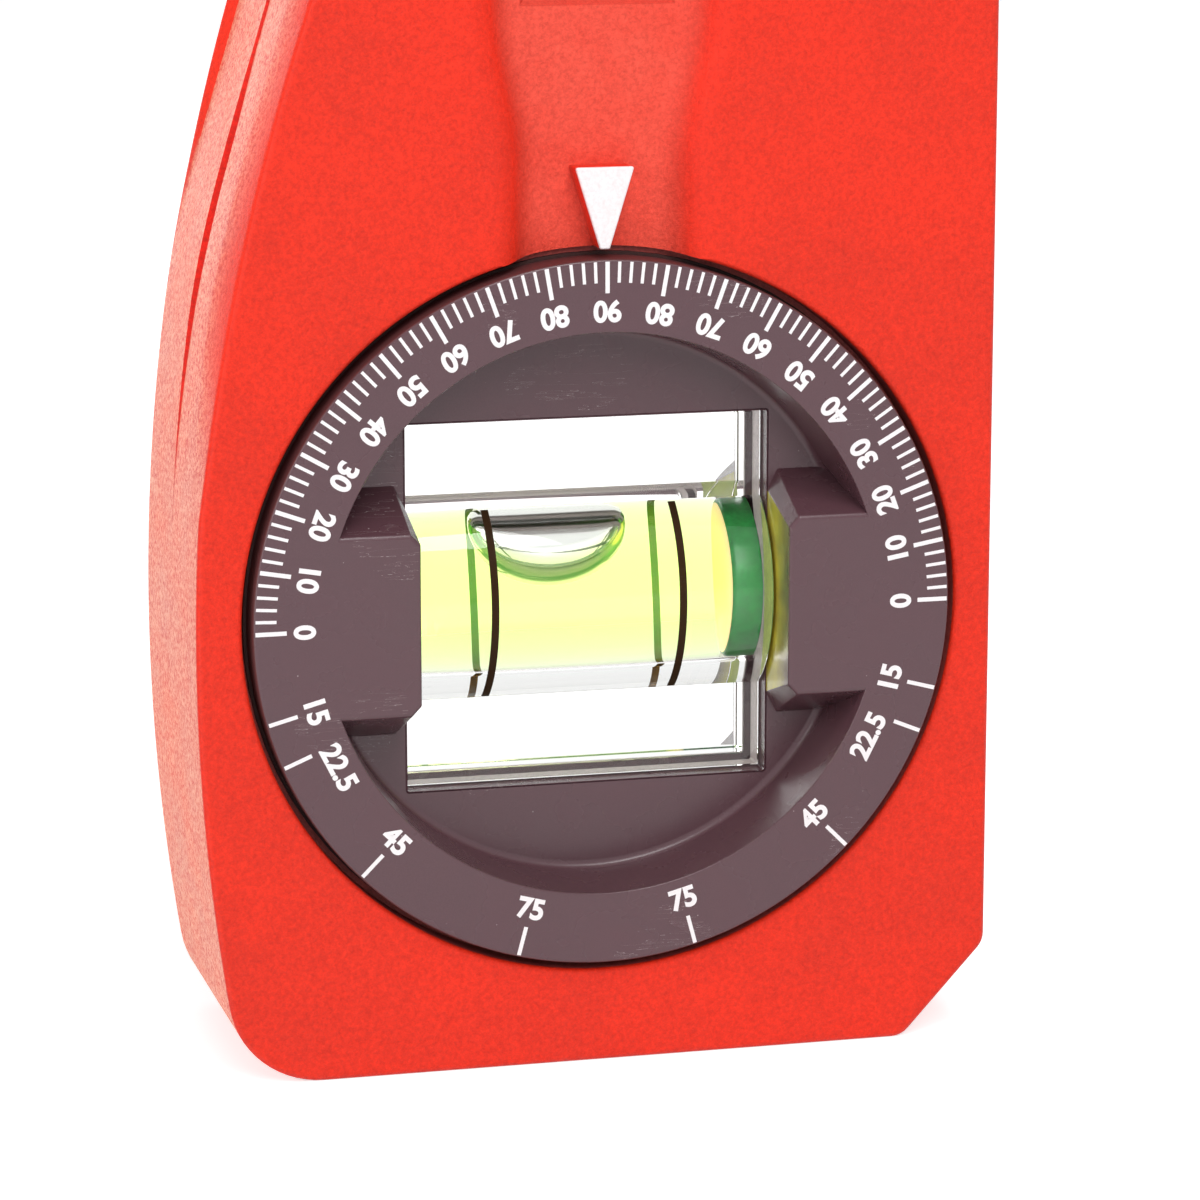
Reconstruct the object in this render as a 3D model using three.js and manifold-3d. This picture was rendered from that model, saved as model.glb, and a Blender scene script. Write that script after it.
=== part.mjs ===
// Pocket level with a vial dial that turns in a round seat, standing on its short end.
// Millimetres, +Z up, +X towards the straight measuring base, the front face towards -Y.
// The origin is the middle of the bottom end.
import * as THREE from "three";
import { mergeVertices } from "three/addons/utils/BufferGeometryUtils.js";
import Module from "manifold-3d";

const wasm = await Module();
wasm.setup();

// Dial
const DIAL_RADIUS = 22.4;
const DIAL_EDGE = 0.25;
const FLANGE_THICKNESS = 2.4;
const PRINTED_RING_WIDTH = 4.55;
const DISH_DEPTH = 5;
const DISH_WALL_RUN = 0.45;
const DISH_FOOT_RADIUS = 1.2;

// Lugs that stand in the dish on both sides of the vial
const LUG_HALF_HEIGHT = 5.7;
const LUG_FOOT_SPREAD = 2.25;
const LUG_CORNER = 0.65;
const LUG_CORNER_SPREAD = 0.7;
const LUG_GAP = 0.15;

// Vial
const WINDOW_CORNER_GAP = 1.233;
const WINDOW_GAP = 0.1;
const BLOCK_THICKNESS = 8.2;
const BARREL_RADIUS = 7.35;
const RIM_WIDTH = 0.5;
const RIM_THICKNESS = 3;
const RIM_GAP = 0.1;
const VIAL_BORE_RADIUS = 3.7;
const VIAL_BORE_TAPER = 0.1;
const VIAL_END_WALL = 0.8;
const PLUG_LENGTH = 2;
const WET_GAP = 0.03;
const BUBBLE_LENGTH = 10.4;
const BUBBLE_DEPTH = 3.15;
const BUBBLE_WIDTH = 6.4;
const BUBBLE_OFFSET = -1.8;
const LINE_WIDTH = 0.48;
const LINE_HEIGHT = 0.06;
const LINE_SPACING = 12.2;
const LINE_OFFSET = -0.42;
const LINE_END_GAP = 0.2;

// Body, laid out round the dial's seat
const BODY_LENGTH = 100;
const BODY_THICKNESS = 19;
const SEAT_GAP = 0.55;
const SEAT_DEPTH = 2.4;
const SEAT_WIDTH = 2.15;
const HUB_GAP = 0.2;
const FACE_STEP = 0.6;
const BASE_WALL = 2.45;
const GRIP_WALL = 2.85;
const BOTTOM_WALL = 6.05;
const GRIP_RADIUS = 140;
const GRIP_MIDDLE_HEIGHT = 27;
const BOTTOM_CORNER_RADIUS = 6;
const TOP_CORNER_RADIUS = 9;
const CHAMFER_WIDTH = 5.5;
const CHAMFER_HEIGHT = 6;
const CHAMFER_ROUND = 1.5;
const BODY_EDGE = 0.4;
const SEAT_EDGE = 0.3;

// Facets of the grip side
const BEVEL_START = 49;
const BEVEL_TOP_MARGIN = 5;
const BEVEL_DEPTH = 4;
const RELIEF = 0.55;
const RELIEF_START = 47;
const RELIEF_FULL = 67;
const RELIEF_TOP_MARGIN = 15;
const FLARE_DEPTH = 4.5;
const GROOVE_WIDTH = 0.36;
const GROOVE_DEPTH = 0.3;
const GROOVE_HAIRLINE = 0.06;
const GROOVE_START = 34;
const GROOVE_MIDDLE = 56;
const GROOVE_FADE = 70;

// Recess above the dial, with the pointer in it
const RECESS_DEPTH = 1.9;
const RECESS_NARROW_HALF = 4.62;
const RECESS_WIDE_HALF = 6.05;
const RECESS_WALL_RUN = 1.44;
const RECESS_ROUND = 0.5;
const RECESS_FLARE_START = 5.5;
const RECESS_FLARE_END = 15;
const RECESS_TOP_MARGIN = 13;
const RECESS_CORNER_RADIUS = 4;
const RECESS_STEP_SHARE = 0.4222;
const RECESS_STEP_DEPTH = 0.45;
const RECESS_OVERLAP = 3;
const POINTER_HALF_WIDTH = 1.86;
const POINTER_TIP_HALF = 0.3;
const POINTER_HEIGHT = 5.05;
const POINTER_PROUD = 0.1;
const POINTER_THICKNESS = 0.3;
const POINTER_EDGE = 0.12;

// Base groove and magnets
const BASE_GROOVE_WIDTH = 8;
const BASE_GROOVE_DEPTH = 2;
const MAGNET_SPACING = 11;
const MAGNET_MARGIN = 3.5;
const MAGNET_RADIUS = 3.2;
const MAGNET_HEIGHT = 2.5;
const CUP_WALL = 0.7;
const CUP_GAP = 0.1;
const CUP_SINK = 0.1;

// Friction rings and dial screws
const RING_CLEARANCE = 0.05;
const RING_SIDE_GAP = 0.35;
const SCREW_RADIUS = 0.9;
const SCREW_HEAD_RADIUS = 1.5;
const SCREW_HEAD_HEIGHT = 0.9;
const SCREW_HEAD_SINK = 0.1;
const SCREW_REACH = 2.3;
const SCREW_GAP = 0.15;
const SCREW_SPREAD = 4.5;
const SCREW_WALL = 0.6;
const DRIVER_SLOT_WIDTH = 0.35;
const DRIVER_SLOT_LENGTH = 1.8;
const DRIVER_SLOT_DEPTH = 0.45;

// Every cut runs this far past what it cuts.
const OVERRUN = 1;

// Facets of the round shapes
const DIAL_SIDES = 72;
const BARREL_SIDES = 48;
const BORE_SIDES = 32;
const CUP_SIDES = 28;
const SCREW_SIDES = 20;
const GRIP_STEPS = 22;
const CORNER_STEPS = 6;
const SMALL_STEPS = 2;
const BUBBLE_STEPS = 14;
const TAPER_STEPS = 6;
const RECESS_STEPS = 12;

// Places that follow from the sizes above
const seatRadius = DIAL_RADIUS + SEAT_GAP;
const boreRadius = seatRadius - SEAT_WIDTH;
const hubRadius = boreRadius - HUB_GAP;
const bodyHalfWidth = (2 * seatRadius + BASE_WALL + GRIP_WALL) / 2;
const dialX = bodyHalfWidth - BASE_WALL - seatRadius;
const dialZ = seatRadius + BOTTOM_WALL;
const bodyFace = BODY_THICKNESS / 2;
const dialFace = bodyFace + FACE_STEP;
const seatFace = bodyFace - SEAT_DEPTH;
const floorFace = dialFace - DISH_DEPTH;
const flangeBack = dialFace - FLANGE_THICKNESS;
const printedInner = DIAL_RADIUS - PRINTED_RING_WIDTH;
const windowHalf = (printedInner - WINDOW_CORNER_GAP) / Math.SQRT2;
const blockHalf = windowHalf - WINDOW_GAP;
const rimHalf = blockHalf + RIM_WIDTH;
const pocketHalf = rimHalf + RIM_GAP;
const lugInner = windowHalf + LUG_GAP / 2;
const headSeat = floorFace - SCREW_HEAD_HEIGHT - SCREW_HEAD_SINK;
const holeRadius = SCREW_RADIUS + SCREW_GAP;
const gripCentre = new THREE.Vector2(-bodyHalfWidth + GRIP_RADIUS, GRIP_MIDDLE_HEIGHT);

// Finishes
const coat = new THREE.MeshStandardMaterial({ color: 0xe8352b, roughness: 0.62, metalness: 0.05 });
const dialPlastic = new THREE.MeshStandardMaterial({ color: 0x4a3c40, roughness: 0.5, metalness: 0 });
const clearAcrylic = new THREE.MeshStandardMaterial({
  color: 0xf4fbf6, roughness: 0.05, metalness: 0, transparent: true, opacity: 0.35,
});
const liquid = new THREE.MeshStandardMaterial({
  color: 0xdcf23c, roughness: 0.05, metalness: 0, transparent: true, opacity: 0.7,
});
const plugPlastic = new THREE.MeshStandardMaterial({ color: 0x2f9a4a, roughness: 0.3, metalness: 0 });
const lineInk = new THREE.MeshStandardMaterial({ color: 0x161414, roughness: 0.5, metalness: 0 });
const pointerPaint = new THREE.MeshStandardMaterial({ color: 0xf1ecec, roughness: 0.55, metalness: 0 });
const rubber = new THREE.MeshStandardMaterial({ color: 0x1b1b1b, roughness: 0.85, metalness: 0 });
const screwSteel = new THREE.MeshStandardMaterial({ color: 0x8d8f92, roughness: 0.3, metalness: 1 });
const magnetPlate = new THREE.MeshStandardMaterial({ color: 0xc9ccd0, roughness: 0.2, metalness: 1 });
const cupSteel = new THREE.MeshStandardMaterial({ color: 0x9a9da1, roughness: 0.35, metalness: 1 });

// Solids

// A closed geometry as a solid, with its faces turned out whichever way they were drawn.
function solid(geometry) {
  const bare = geometry.clone();
  bare.deleteAttribute("normal");
  bare.deleteAttribute("uv");
  const merged = mergeVertices(bare);
  const places = Float32Array.from(merged.attributes.position.array);
  const kept = [];
  let volume = 0;
  for (let i = 0; i < merged.index.count; i += 3) {
    const corners = [0, 1, 2].map((k) => merged.index.getX(i + k));
    if (new Set(corners).size < corners.length) continue;
    kept.push(...corners);
    const [a, b, c] = corners.map((k) => new THREE.Vector3().fromArray(places, 3 * k));
    volume += a.dot(b.cross(c));
  }
  if (volume < 0) kept.reverse();
  const mesh = new wasm.Mesh({ numProp: 3, vertProperties: places, triVerts: Uint32Array.from(kept) });
  return new wasm.Manifold(mesh);
}

// A solid's triangles as a geometry.
function geometryOf(shape) {
  const mesh = shape.getMesh();
  const geometry = new THREE.BufferGeometry();
  geometry.setAttribute("position", new THREE.BufferAttribute(mesh.vertProperties, 3));
  geometry.setIndex(new THREE.BufferAttribute(mesh.triVerts, 1));
  return geometry;
}

// A body through a stack of outlines, each a list of points with the same count, flat at both ends.
function loft(rings) {
  const count = rings[0].length;
  const index = [];
  for (let k = 0; k + 1 < rings.length; k += 1) {
    for (let i = 0; i < count; i += 1) {
      const j = (i + 1) % count;
      const [a, b] = [k * count + i, k * count + j];
      index.push(a, b + count, b, a, a + count, b + count);
    }
  }
  for (const [ring, start, turned] of [[rings[0], 0, false], [rings.at(-1), (rings.length - 1) * count, true]]) {
    const flat = ring.map((point) => new THREE.Vector2(point.x, point.z));
    for (const face of THREE.ShapeUtils.triangulateShape(flat, [])) {
      const [a, b, c] = face.map((k) => flat[k]);
      const leftHanded = (b.x - a.x) * (c.y - a.y) < (b.y - a.y) * (c.x - a.x);
      const ordered = leftHanded === turned ? face : [...face].reverse();
      index.push(...ordered.map((k) => start + k));
    }
  }
  const geometry = new THREE.BufferGeometry();
  geometry.setAttribute("position", new THREE.Float32BufferAttribute(rings.flat().flatMap((p) => p.toArray()), 3));
  geometry.setIndex(index);
  return geometry;
}

// An outline in X and Z, moved out along its own normals and placed at depth y.
function ringAt(outline, offset, y) {
  const count = outline.length;
  return outline.map((point, i) => {
    const along = outline[(i + 1) % count].clone().sub(outline[(i + count - 1) % count]).normalize();
    return new THREE.Vector3(point.x + along.y * offset, y, point.y - along.x * offset);
  });
}

// Points on an arc, both ends included.
function arc(centre, radius, from, to, steps) {
  return Array.from({ length: steps + 1 }, (unused, i) => {
    const angle = from + ((to - from) * i) / steps;
    return new THREE.Vector2(centre.x + radius * Math.cos(angle), centre.y + radius * Math.sin(angle));
  });
}

// The corner between two straight lines, rounded to a radius.
function roundedCorner(before, corner, after, radius, steps) {
  const back = before.clone().sub(corner).normalize();
  const ahead = after.clone().sub(corner).normalize();
  const half = Math.acos(back.dot(ahead)) / 2;
  const middle = back.clone().add(ahead).normalize();
  const centre = corner.clone().addScaledVector(middle, radius / Math.sin(half));
  const start = corner.clone().addScaledVector(back, radius / Math.tan(half)).sub(centre);
  const end = corner.clone().addScaledVector(ahead, radius / Math.tan(half)).sub(centre);
  const turn = Math.atan2(start.cross(end), start.dot(end));
  return arc(centre, radius, start.angle(), start.angle() + turn, steps);
}

// A round body about the dial's axis, from its radius and depth points.
function turned(points, sides) {
  return solid(new THREE.LatheGeometry(points.map(([radius, y]) => new THREE.Vector2(radius, y)), sides));
}

// A cylinder along X between two places.
function barAlongX(radius, from, to, sides) {
  const geometry = new THREE.CylinderGeometry(radius, radius, to - from, sides);
  return solid(geometry.rotateZ(Math.PI / 2).translate((from + to) / 2, 0, 0));
}

// A box by its lowest and highest corners.
function box([x0, y0, z0], [x1, y1, z1]) {
  const geometry = new THREE.BoxGeometry(x1 - x0, y1 - y0, z1 - z0);
  return solid(geometry.translate((x0 + x1) / 2, (y0 + y1) / 2, (z0 + z1) / 2));
}

// A smooth rise from 0 to 1 between two places.
function rise(value, from, to) {
  return THREE.MathUtils.smoothstep(value, from, to);
}

// The same solid as seen in a mirror across the middle of the body's thickness.
function mirrored(shape) {
  return shape.mirror([0, 1, 0]);
}

// Body

// Where the grip side's arc lies at a height.
function gripX(z) {
  return gripCentre.x - Math.sqrt(GRIP_RADIUS ** 2 - (z - gripCentre.y) ** 2);
}

// How far the front bevel cuts in at a height: its edge is a straight line on the front face.
function bevelInset(z) {
  const top = BODY_LENGTH - BEVEL_TOP_MARGIN;
  if (z <= BEVEL_START || z >= top) return 0;
  const share = (z - BEVEL_START) / (top - BEVEL_START);
  return THREE.MathUtils.lerp(gripX(BEVEL_START), gripX(top), share) - gripX(z);
}

// How far the middle of the grip side lies in from its rear edge at a height.
function reliefInset(z) {
  const top = BODY_LENGTH - BEVEL_TOP_MARGIN;
  const fade = rise(top - z, 0, RELIEF_TOP_MARGIN - BEVEL_TOP_MARGIN);
  return RELIEF * rise(z, RELIEF_START, RELIEF_FULL) * fade;
}

// How deep the parting groove along the grip side is at a height.
function grooveInset(z) {
  const swell = rise(z, GROOVE_START, GROOVE_MIDDLE) * rise(GROOVE_FADE - z, 0, GROOVE_FADE - GROOVE_MIDDLE);
  const hairline = rise(z, GROOVE_START, GROOVE_MIDDLE) * rise(BODY_LENGTH - BEVEL_TOP_MARGIN - z, 0, BEVEL_TOP_MARGIN);
  return Math.max(GROOVE_DEPTH * swell, GROOVE_HAIRLINE * hairline);
}

// The body's outline, anticlockwise as the front shows it, with the grip side on the left.
function bodyOutline() {
  const fillet = (radius, z) => {
    const reach = GRIP_RADIUS - radius;
    return new THREE.Vector2(gripCentre.x - Math.sqrt(reach ** 2 - (gripCentre.y - z) ** 2), z);
  };
  const bottomCentre = fillet(BOTTOM_CORNER_RADIUS, BOTTOM_CORNER_RADIUS);
  const topCentre = fillet(TOP_CORNER_RADIUS, BODY_LENGTH - TOP_CORNER_RADIUS);
  const bottomAngle = bottomCentre.clone().sub(gripCentre).angle();
  const topAngle = topCentre.clone().sub(gripCentre).angle();
  const corners = [
    new THREE.Vector2(bottomCentre.x, 0),
    new THREE.Vector2(bodyHalfWidth - CHAMFER_WIDTH, 0),
    new THREE.Vector2(bodyHalfWidth, CHAMFER_HEIGHT),
    new THREE.Vector2(bodyHalfWidth, BODY_LENGTH - CHAMFER_HEIGHT),
    new THREE.Vector2(bodyHalfWidth - CHAMFER_WIDTH, BODY_LENGTH),
    new THREE.Vector2(topCentre.x, BODY_LENGTH),
  ];
  const chamfers = corners.slice(1, -1).flatMap((corner, i) => (
    roundedCorner(corners[i], corner, corners[i + 2], CHAMFER_ROUND, SMALL_STEPS)));
  return [
    ...chamfers,
    ...arc(topCentre, TOP_CORNER_RADIUS, Math.PI / 2, topAngle, CORNER_STEPS),
    ...arc(gripCentre, GRIP_RADIUS, topAngle, bottomAngle, GRIP_STEPS).slice(1, -1),
    ...arc(bottomCentre, BOTTOM_CORNER_RADIUS, bottomAngle, 2 * Math.PI - Math.PI / 2, CORNER_STEPS),
  ];
}

// One outline of the body at a depth, its edge drawn in by a rounding, its grip side by an inset.
function bodyRing(outline, y, drawnIn, inset) {
  return ringAt(outline, -drawnIn, y).map((point, i) => {
    const onGrip = outline[i].x < gripCentre.x - GRIP_RADIUS / 2 && outline[i].x <= gripX(outline[i].y) + OVERRUN;
    if (onGrip) point.x += inset(outline[i].y);
    return point;
  });
}

function bodyBlank() {
  const outline = bodyOutline();
  const rounded = Array.from({ length: SMALL_STEPS + 1 }, (unused, i) => {
    const angle = (Math.PI / 2) * (i / SMALL_STEPS);
    return { drawnIn: BODY_EDGE * (1 - Math.sin(angle)), sink: BODY_EDGE * (1 - Math.cos(angle)) };
  });
  const frontInset = (sink) => (z) => (
    THREE.MathUtils.lerp(Math.max(bevelInset(z), reliefInset(z)), reliefInset(z), sink / BEVEL_DEPTH));
  const rearInset = (sink) => (z) => reliefInset(z) * (sink / FLARE_DEPTH);
  const front = rounded.map(({ drawnIn, sink }) => bodyRing(outline, -bodyFace + sink, drawnIn, frontInset(sink)));
  const rear = rounded.map(({ drawnIn, sink }) => bodyRing(outline, bodyFace - sink, drawnIn, rearInset(sink)));
  const grooved = (z) => reliefInset(z) + grooveInset(z);
  return solid(loft([
    ...front,
    bodyRing(outline, -bodyFace + BEVEL_DEPTH, 0, reliefInset),
    bodyRing(outline, -GROOVE_WIDTH / 2, 0, reliefInset),
    bodyRing(outline, 0, 0, grooved),
    bodyRing(outline, GROOVE_WIDTH / 2, 0, reliefInset),
    bodyRing(outline, bodyFace - FLARE_DEPTH, 0, reliefInset),
    ...rear.reverse(),
  ]));
}

// The dial's seat: a bore through the body, wider at both faces, with rounded rims.
function seatCut() {
  const centre = new THREE.Vector2(seatRadius + SEAT_EDGE, bodyFace - SEAT_EDGE);
  const rim = arc(centre, SEAT_EDGE, Math.PI, Math.PI / 2, SMALL_STEPS).map((p) => [p.x, p.y]);
  const half = [[boreRadius, seatFace], [seatRadius, seatFace], ...rim, [centre.x, bodyFace + OVERRUN]];
  const other = half.map(([radius, y]) => [radius, -y]).reverse();
  return turned([[0, -bodyFace - OVERRUN], ...other, ...half, [0, bodyFace + OVERRUN]], DIAL_SIDES)
    .translate([dialX, 0, dialZ]);
}

// The recess's top as a height above the dial's seat.
const recessTop = BODY_LENGTH - RECESS_TOP_MARGIN - dialZ - seatRadius;

// Half the width of the recess floor at a height above the dial's seat.
function recessHalf(height) {
  return THREE.MathUtils.lerp(RECESS_NARROW_HALF, RECESS_WIDE_HALF, rise(height, RECESS_FLARE_START, RECESS_FLARE_END));
}

// The recess floor's outline from a height above the dial's seat to the rounded top.
function recessOutline(start) {
  const radius = RECESS_CORNER_RADIUS;
  const straight = Array.from({ length: RECESS_STEPS + 1 }, (unused, i) => {
    const height = THREE.MathUtils.lerp(start, recessTop - radius, i / RECESS_STEPS);
    return new THREE.Vector2(recessHalf(height), height);
  });
  const centre = new THREE.Vector2(recessHalf(recessTop) - radius, recessTop - radius);
  const corner = arc(centre, radius, 0, Math.PI / 2, CORNER_STEPS);
  const right = [...straight, ...corner.slice(1)];
  const left = [...right].reverse().map((point) => new THREE.Vector2(-point.x, point.y));
  return [...right, ...left].map((point) => new THREE.Vector2(dialX + point.x, dialZ + seatRadius + point.y));
}

// The recess at the front face: a sloping wall, rounded at its foot and at its rim.
function recessCut() {
  const outside = new THREE.Vector2(RECESS_WALL_RUN + OVERRUN, 0);
  const wall = [
    new THREE.Vector2(-OVERRUN, RECESS_DEPTH),
    new THREE.Vector2(0, RECESS_DEPTH),
    new THREE.Vector2(RECESS_WALL_RUN, 0),
    outside,
  ];
  const foot = roundedCorner(wall[0], wall[1], wall[2], RECESS_ROUND, SMALL_STEPS);
  const rim = roundedCorner(wall[1], wall[2], wall[3], RECESS_ROUND, SMALL_STEPS);
  const profile = [...foot, ...rim, new THREE.Vector2(rim.at(-1).x, -OVERRUN)];
  const main = recessOutline(-RECESS_OVERLAP);
  const lower = recessOutline(recessTop * RECESS_STEP_SHARE);
  const slope = RECESS_WALL_RUN / RECESS_DEPTH;
  const deep = RECESS_DEPTH + RECESS_STEP_DEPTH;
  const step = [
    ringAt(lower, -RECESS_ROUND / 2, -bodyFace + RECESS_DEPTH / 2),
    ringAt(lower, -RECESS_ROUND / 2, -bodyFace + RECESS_DEPTH),
    ringAt(lower, -RECESS_ROUND / 2 - slope * RECESS_STEP_DEPTH, -bodyFace + deep),
  ];
  return solid(loft(profile.map((p) => ringAt(main, p.x, -bodyFace + p.y)).reverse())).add(solid(loft(step)));
}

// The V groove along the measuring base.
function baseGrooveCut() {
  const half = BASE_GROOVE_WIDTH / 2;
  const slope = BASE_GROOVE_DEPTH / half;
  const mouth = half + OVERRUN / slope;
  const section = [
    new THREE.Vector2(bodyHalfWidth + OVERRUN, -mouth),
    new THREE.Vector2(bodyHalfWidth + OVERRUN, mouth),
    new THREE.Vector2(bodyHalfWidth - BASE_GROOVE_DEPTH, 0),
  ];
  const prism = new THREE.ExtrudeGeometry(new THREE.Shape(section), {
    depth: BODY_LENGTH + 2 * OVERRUN, bevelEnabled: false,
  });
  return solid(prism.translate(0, 0, -OVERRUN));
}

// The heights of the magnets, as many as fit in the base above the dial, spread over it.
function magnetHeights() {
  const low = dialZ + seatRadius + MAGNET_MARGIN;
  const high = BODY_LENGTH - CHAMFER_HEIGHT - MAGNET_MARGIN;
  const count = Math.floor((high - low) / MAGNET_SPACING);
  return Array.from({ length: count }, (unused, i) => THREE.MathUtils.lerp(low, high, (i + 1 / 2) / count));
}

const cupRadius = MAGNET_RADIUS + CUP_GAP + CUP_WALL;
const cupMouth = bodyHalfWidth - BASE_GROOVE_DEPTH - CUP_SINK;
const cupBack = cupMouth - MAGNET_HEIGHT - CUP_WALL;

function bodyShape() {
  let shape = bodyBlank().subtract(seatCut()).subtract(recessCut()).subtract(mirrored(recessCut()));
  shape = shape.add(pointerPedestal()).add(mirrored(pointerPedestal()));
  shape = shape.subtract(baseGrooveCut());
  for (const z of magnetHeights()) {
    const pocket = barAlongX(cupRadius + CUP_GAP, cupBack, bodyHalfWidth + OVERRUN, CUP_SIDES);
    shape = shape.subtract(pocket.translate([0, 0, z]));
  }
  return shape;
}

// Pointer

const pointerBack = -bodyFace - POINTER_PROUD + POINTER_THICKNESS;

// The pointer's outline above the dial, its tip at the seat's edge.
function pointerOutline() {
  const tip = dialZ + seatRadius;
  return [
    new THREE.Vector2(dialX + POINTER_TIP_HALF, tip),
    new THREE.Vector2(dialX + POINTER_HALF_WIDTH, tip + POINTER_HEIGHT),
    new THREE.Vector2(dialX - POINTER_HALF_WIDTH, tip + POINTER_HEIGHT),
    new THREE.Vector2(dialX - POINTER_TIP_HALF, tip),
  ];
}

// The cast triangle that stands on the recess floor and carries the pointer.
function pointerPedestal() {
  const outline = pointerOutline();
  return solid(loft([
    ringAt(outline, 0, pointerBack),
    ringAt(outline, 0, -bodyFace + RECESS_DEPTH + OVERRUN),
  ]));
}

// The pointer on its pedestal, a thin triangle with drawn-in edges.
function pointerShape() {
  const outline = pointerOutline();
  const top = pointerBack - POINTER_THICKNESS;
  return solid(loft([
    ringAt(outline, -POINTER_EDGE, top),
    ringAt(outline, 0, top + POINTER_EDGE),
    ringAt(outline, 0, pointerBack),
  ]));
}

// Dial

// The dish's wall in half section: steep from the printed ring, then a round foot to the floor.
function dishProfile() {
  const rim = new THREE.Vector2(printedInner, dialFace);
  const foot = new THREE.Vector2(printedInner - DISH_WALL_RUN, floorFace);
  return roundedCorner(rim, foot, new THREE.Vector2(0, floorFace), DISH_FOOT_RADIUS, CORNER_STEPS)
    .map((point) => [point.x, point.y]).reverse();
}

// One half of the dial as it sits at the rear face, from the dish floor to the middle of the body.
function dialBlank() {
  const edge = DIAL_EDGE;
  return turned([
    [0, 0], [0, floorFace], ...dishProfile(), [printedInner, dialFace],
    [DIAL_RADIUS - edge, dialFace], [DIAL_RADIUS, dialFace - edge], [DIAL_RADIUS, flangeBack],
    [hubRadius, flangeBack], [hubRadius, 0], [0, 0],
  ], DIAL_SIDES);
}

// One lug: flush with the printed ring, spreading down to the dish floor, with cut inner corners.
function lugShape() {
  const outer = printedInner + DIAL_EDGE;
  const section = (halfHeight, corner, run) => [
    new THREE.Vector2(lugInner, -halfHeight + corner),
    new THREE.Vector2(lugInner + run, -halfHeight),
    new THREE.Vector2(outer, -halfHeight),
    new THREE.Vector2(outer, halfHeight),
    new THREE.Vector2(lugInner + run, halfHeight),
    new THREE.Vector2(lugInner, halfHeight - corner),
  ];
  const foot = section(LUG_HALF_HEIGHT + LUG_FOOT_SPREAD, LUG_CORNER + LUG_CORNER_SPREAD, LUG_CORNER);
  return solid(loft([
    ringAt(foot, 0, floorFace / 2),
    ringAt(foot, 0, floorFace),
    ringAt(section(LUG_HALF_HEIGHT, LUG_CORNER, LUG_CORNER), 0, dialFace),
  ]));
}

// The screws' places on the dish floor, a wall away from the pocket for the vial's rim.
function screwPlaces() {
  const z = pocketHalf + SCREW_WALL + holeRadius;
  return [[-1, -1], [1, -1], [1, 1], [-1, 1]].map(([side, up]) => [side * SCREW_SPREAD, up * z]);
}

// Each dial half in the dial's own place, its axis at the origin; the front one is the mirrored rear.
function dialHalf() {
  const window = box(
    [-windowHalf, -OVERRUN, -windowHalf],
    [windowHalf, dialFace + OVERRUN, windowHalf],
  );
  const pocket = box(
    [-pocketHalf, -OVERRUN, -pocketHalf],
    [pocketHalf, RIM_THICKNESS / 2 + RIM_GAP, pocketHalf],
  );
  return dialBlank().subtract(window).add(lugShape()).add(lugShape().mirror([1, 0, 0])).subtract(pocket);
}

function rearDialShape() {
  let shape = dialHalf();
  for (const [x, z] of screwPlaces()) {
    const seat = SCREW_HEAD_RADIUS + SCREW_GAP;
    const hole = turned([
      [0, -OVERRUN], [holeRadius, -OVERRUN], [holeRadius, headSeat], [seat, headSeat],
      [seat, floorFace + OVERRUN], [0, floorFace + OVERRUN],
    ], SCREW_SIDES);
    shape = shape.subtract(hole.translate([x, 0, z]));
  }
  return shape;
}

function frontDialShape() {
  let shape = mirrored(dialHalf());
  for (const [x, z] of screwPlaces()) {
    const end = -SCREW_REACH - SCREW_GAP;
    const hole = turned([[0, end], [holeRadius, end], [holeRadius, OVERRUN], [0, OVERRUN]], SCREW_SIDES);
    shape = shape.subtract(hole.translate([x, 0, z]));
  }
  return shape;
}

// A screw with its head up the Y axis and a crossed driver slot.
function screwShape() {
  const top = headSeat + SCREW_HEAD_HEIGHT;
  const blank = turned([
    [0, -SCREW_REACH], [SCREW_RADIUS, -SCREW_REACH], [SCREW_RADIUS, headSeat],
    [SCREW_HEAD_RADIUS, headSeat], [SCREW_HEAD_RADIUS, top], [0, top],
  ], SCREW_SIDES);
  const half = DRIVER_SLOT_LENGTH / 2;
  const thin = DRIVER_SLOT_WIDTH / 2;
  const bottom = top - DRIVER_SLOT_DEPTH;
  return blank
    .subtract(box([-half, bottom, -thin], [half, top + OVERRUN, thin]))
    .subtract(box([-thin, bottom, -half], [thin, top + OVERRUN, half]));
}

// Vial

const plugInner = blockHalf - PLUG_LENGTH;
const boreEnd = -blockHalf + VIAL_END_WALL;

// The bore's radius: widest in the middle, so that the bubble rises to it.
function vialRadius(x) {
  return VIAL_BORE_RADIUS - VIAL_BORE_TAPER * (x / blockHalf) ** 2;
}

// A round solid along X that follows the bore, thinner by a gap.
function boreSolid(from, to, gap) {
  const wall = Array.from({ length: TAPER_STEPS + 1 }, (unused, i) => {
    const x = THREE.MathUtils.lerp(from, to, i / TAPER_STEPS);
    return new THREE.Vector2(vialRadius(x) - gap, x);
  });
  const points = [new THREE.Vector2(0, from), ...wall, new THREE.Vector2(0, to)];
  return solid(new THREE.LatheGeometry(points, BORE_SIDES).rotateZ(-Math.PI / 2));
}

function vialBlockShape() {
  const rim = box([-rimHalf, -RIM_THICKNESS / 2, -rimHalf], [rimHalf, RIM_THICKNESS / 2, rimHalf]);
  const slab = box([-blockHalf, -BLOCK_THICKNESS / 2, -blockHalf], [blockHalf, BLOCK_THICKNESS / 2, blockHalf]);
  const barrel = barAlongX(BARREL_RADIUS, -blockHalf, blockHalf, BARREL_SIDES);
  return slab.add(barrel).add(rim).subtract(boreSolid(boreEnd, rimHalf + OVERRUN, 0));
}

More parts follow.
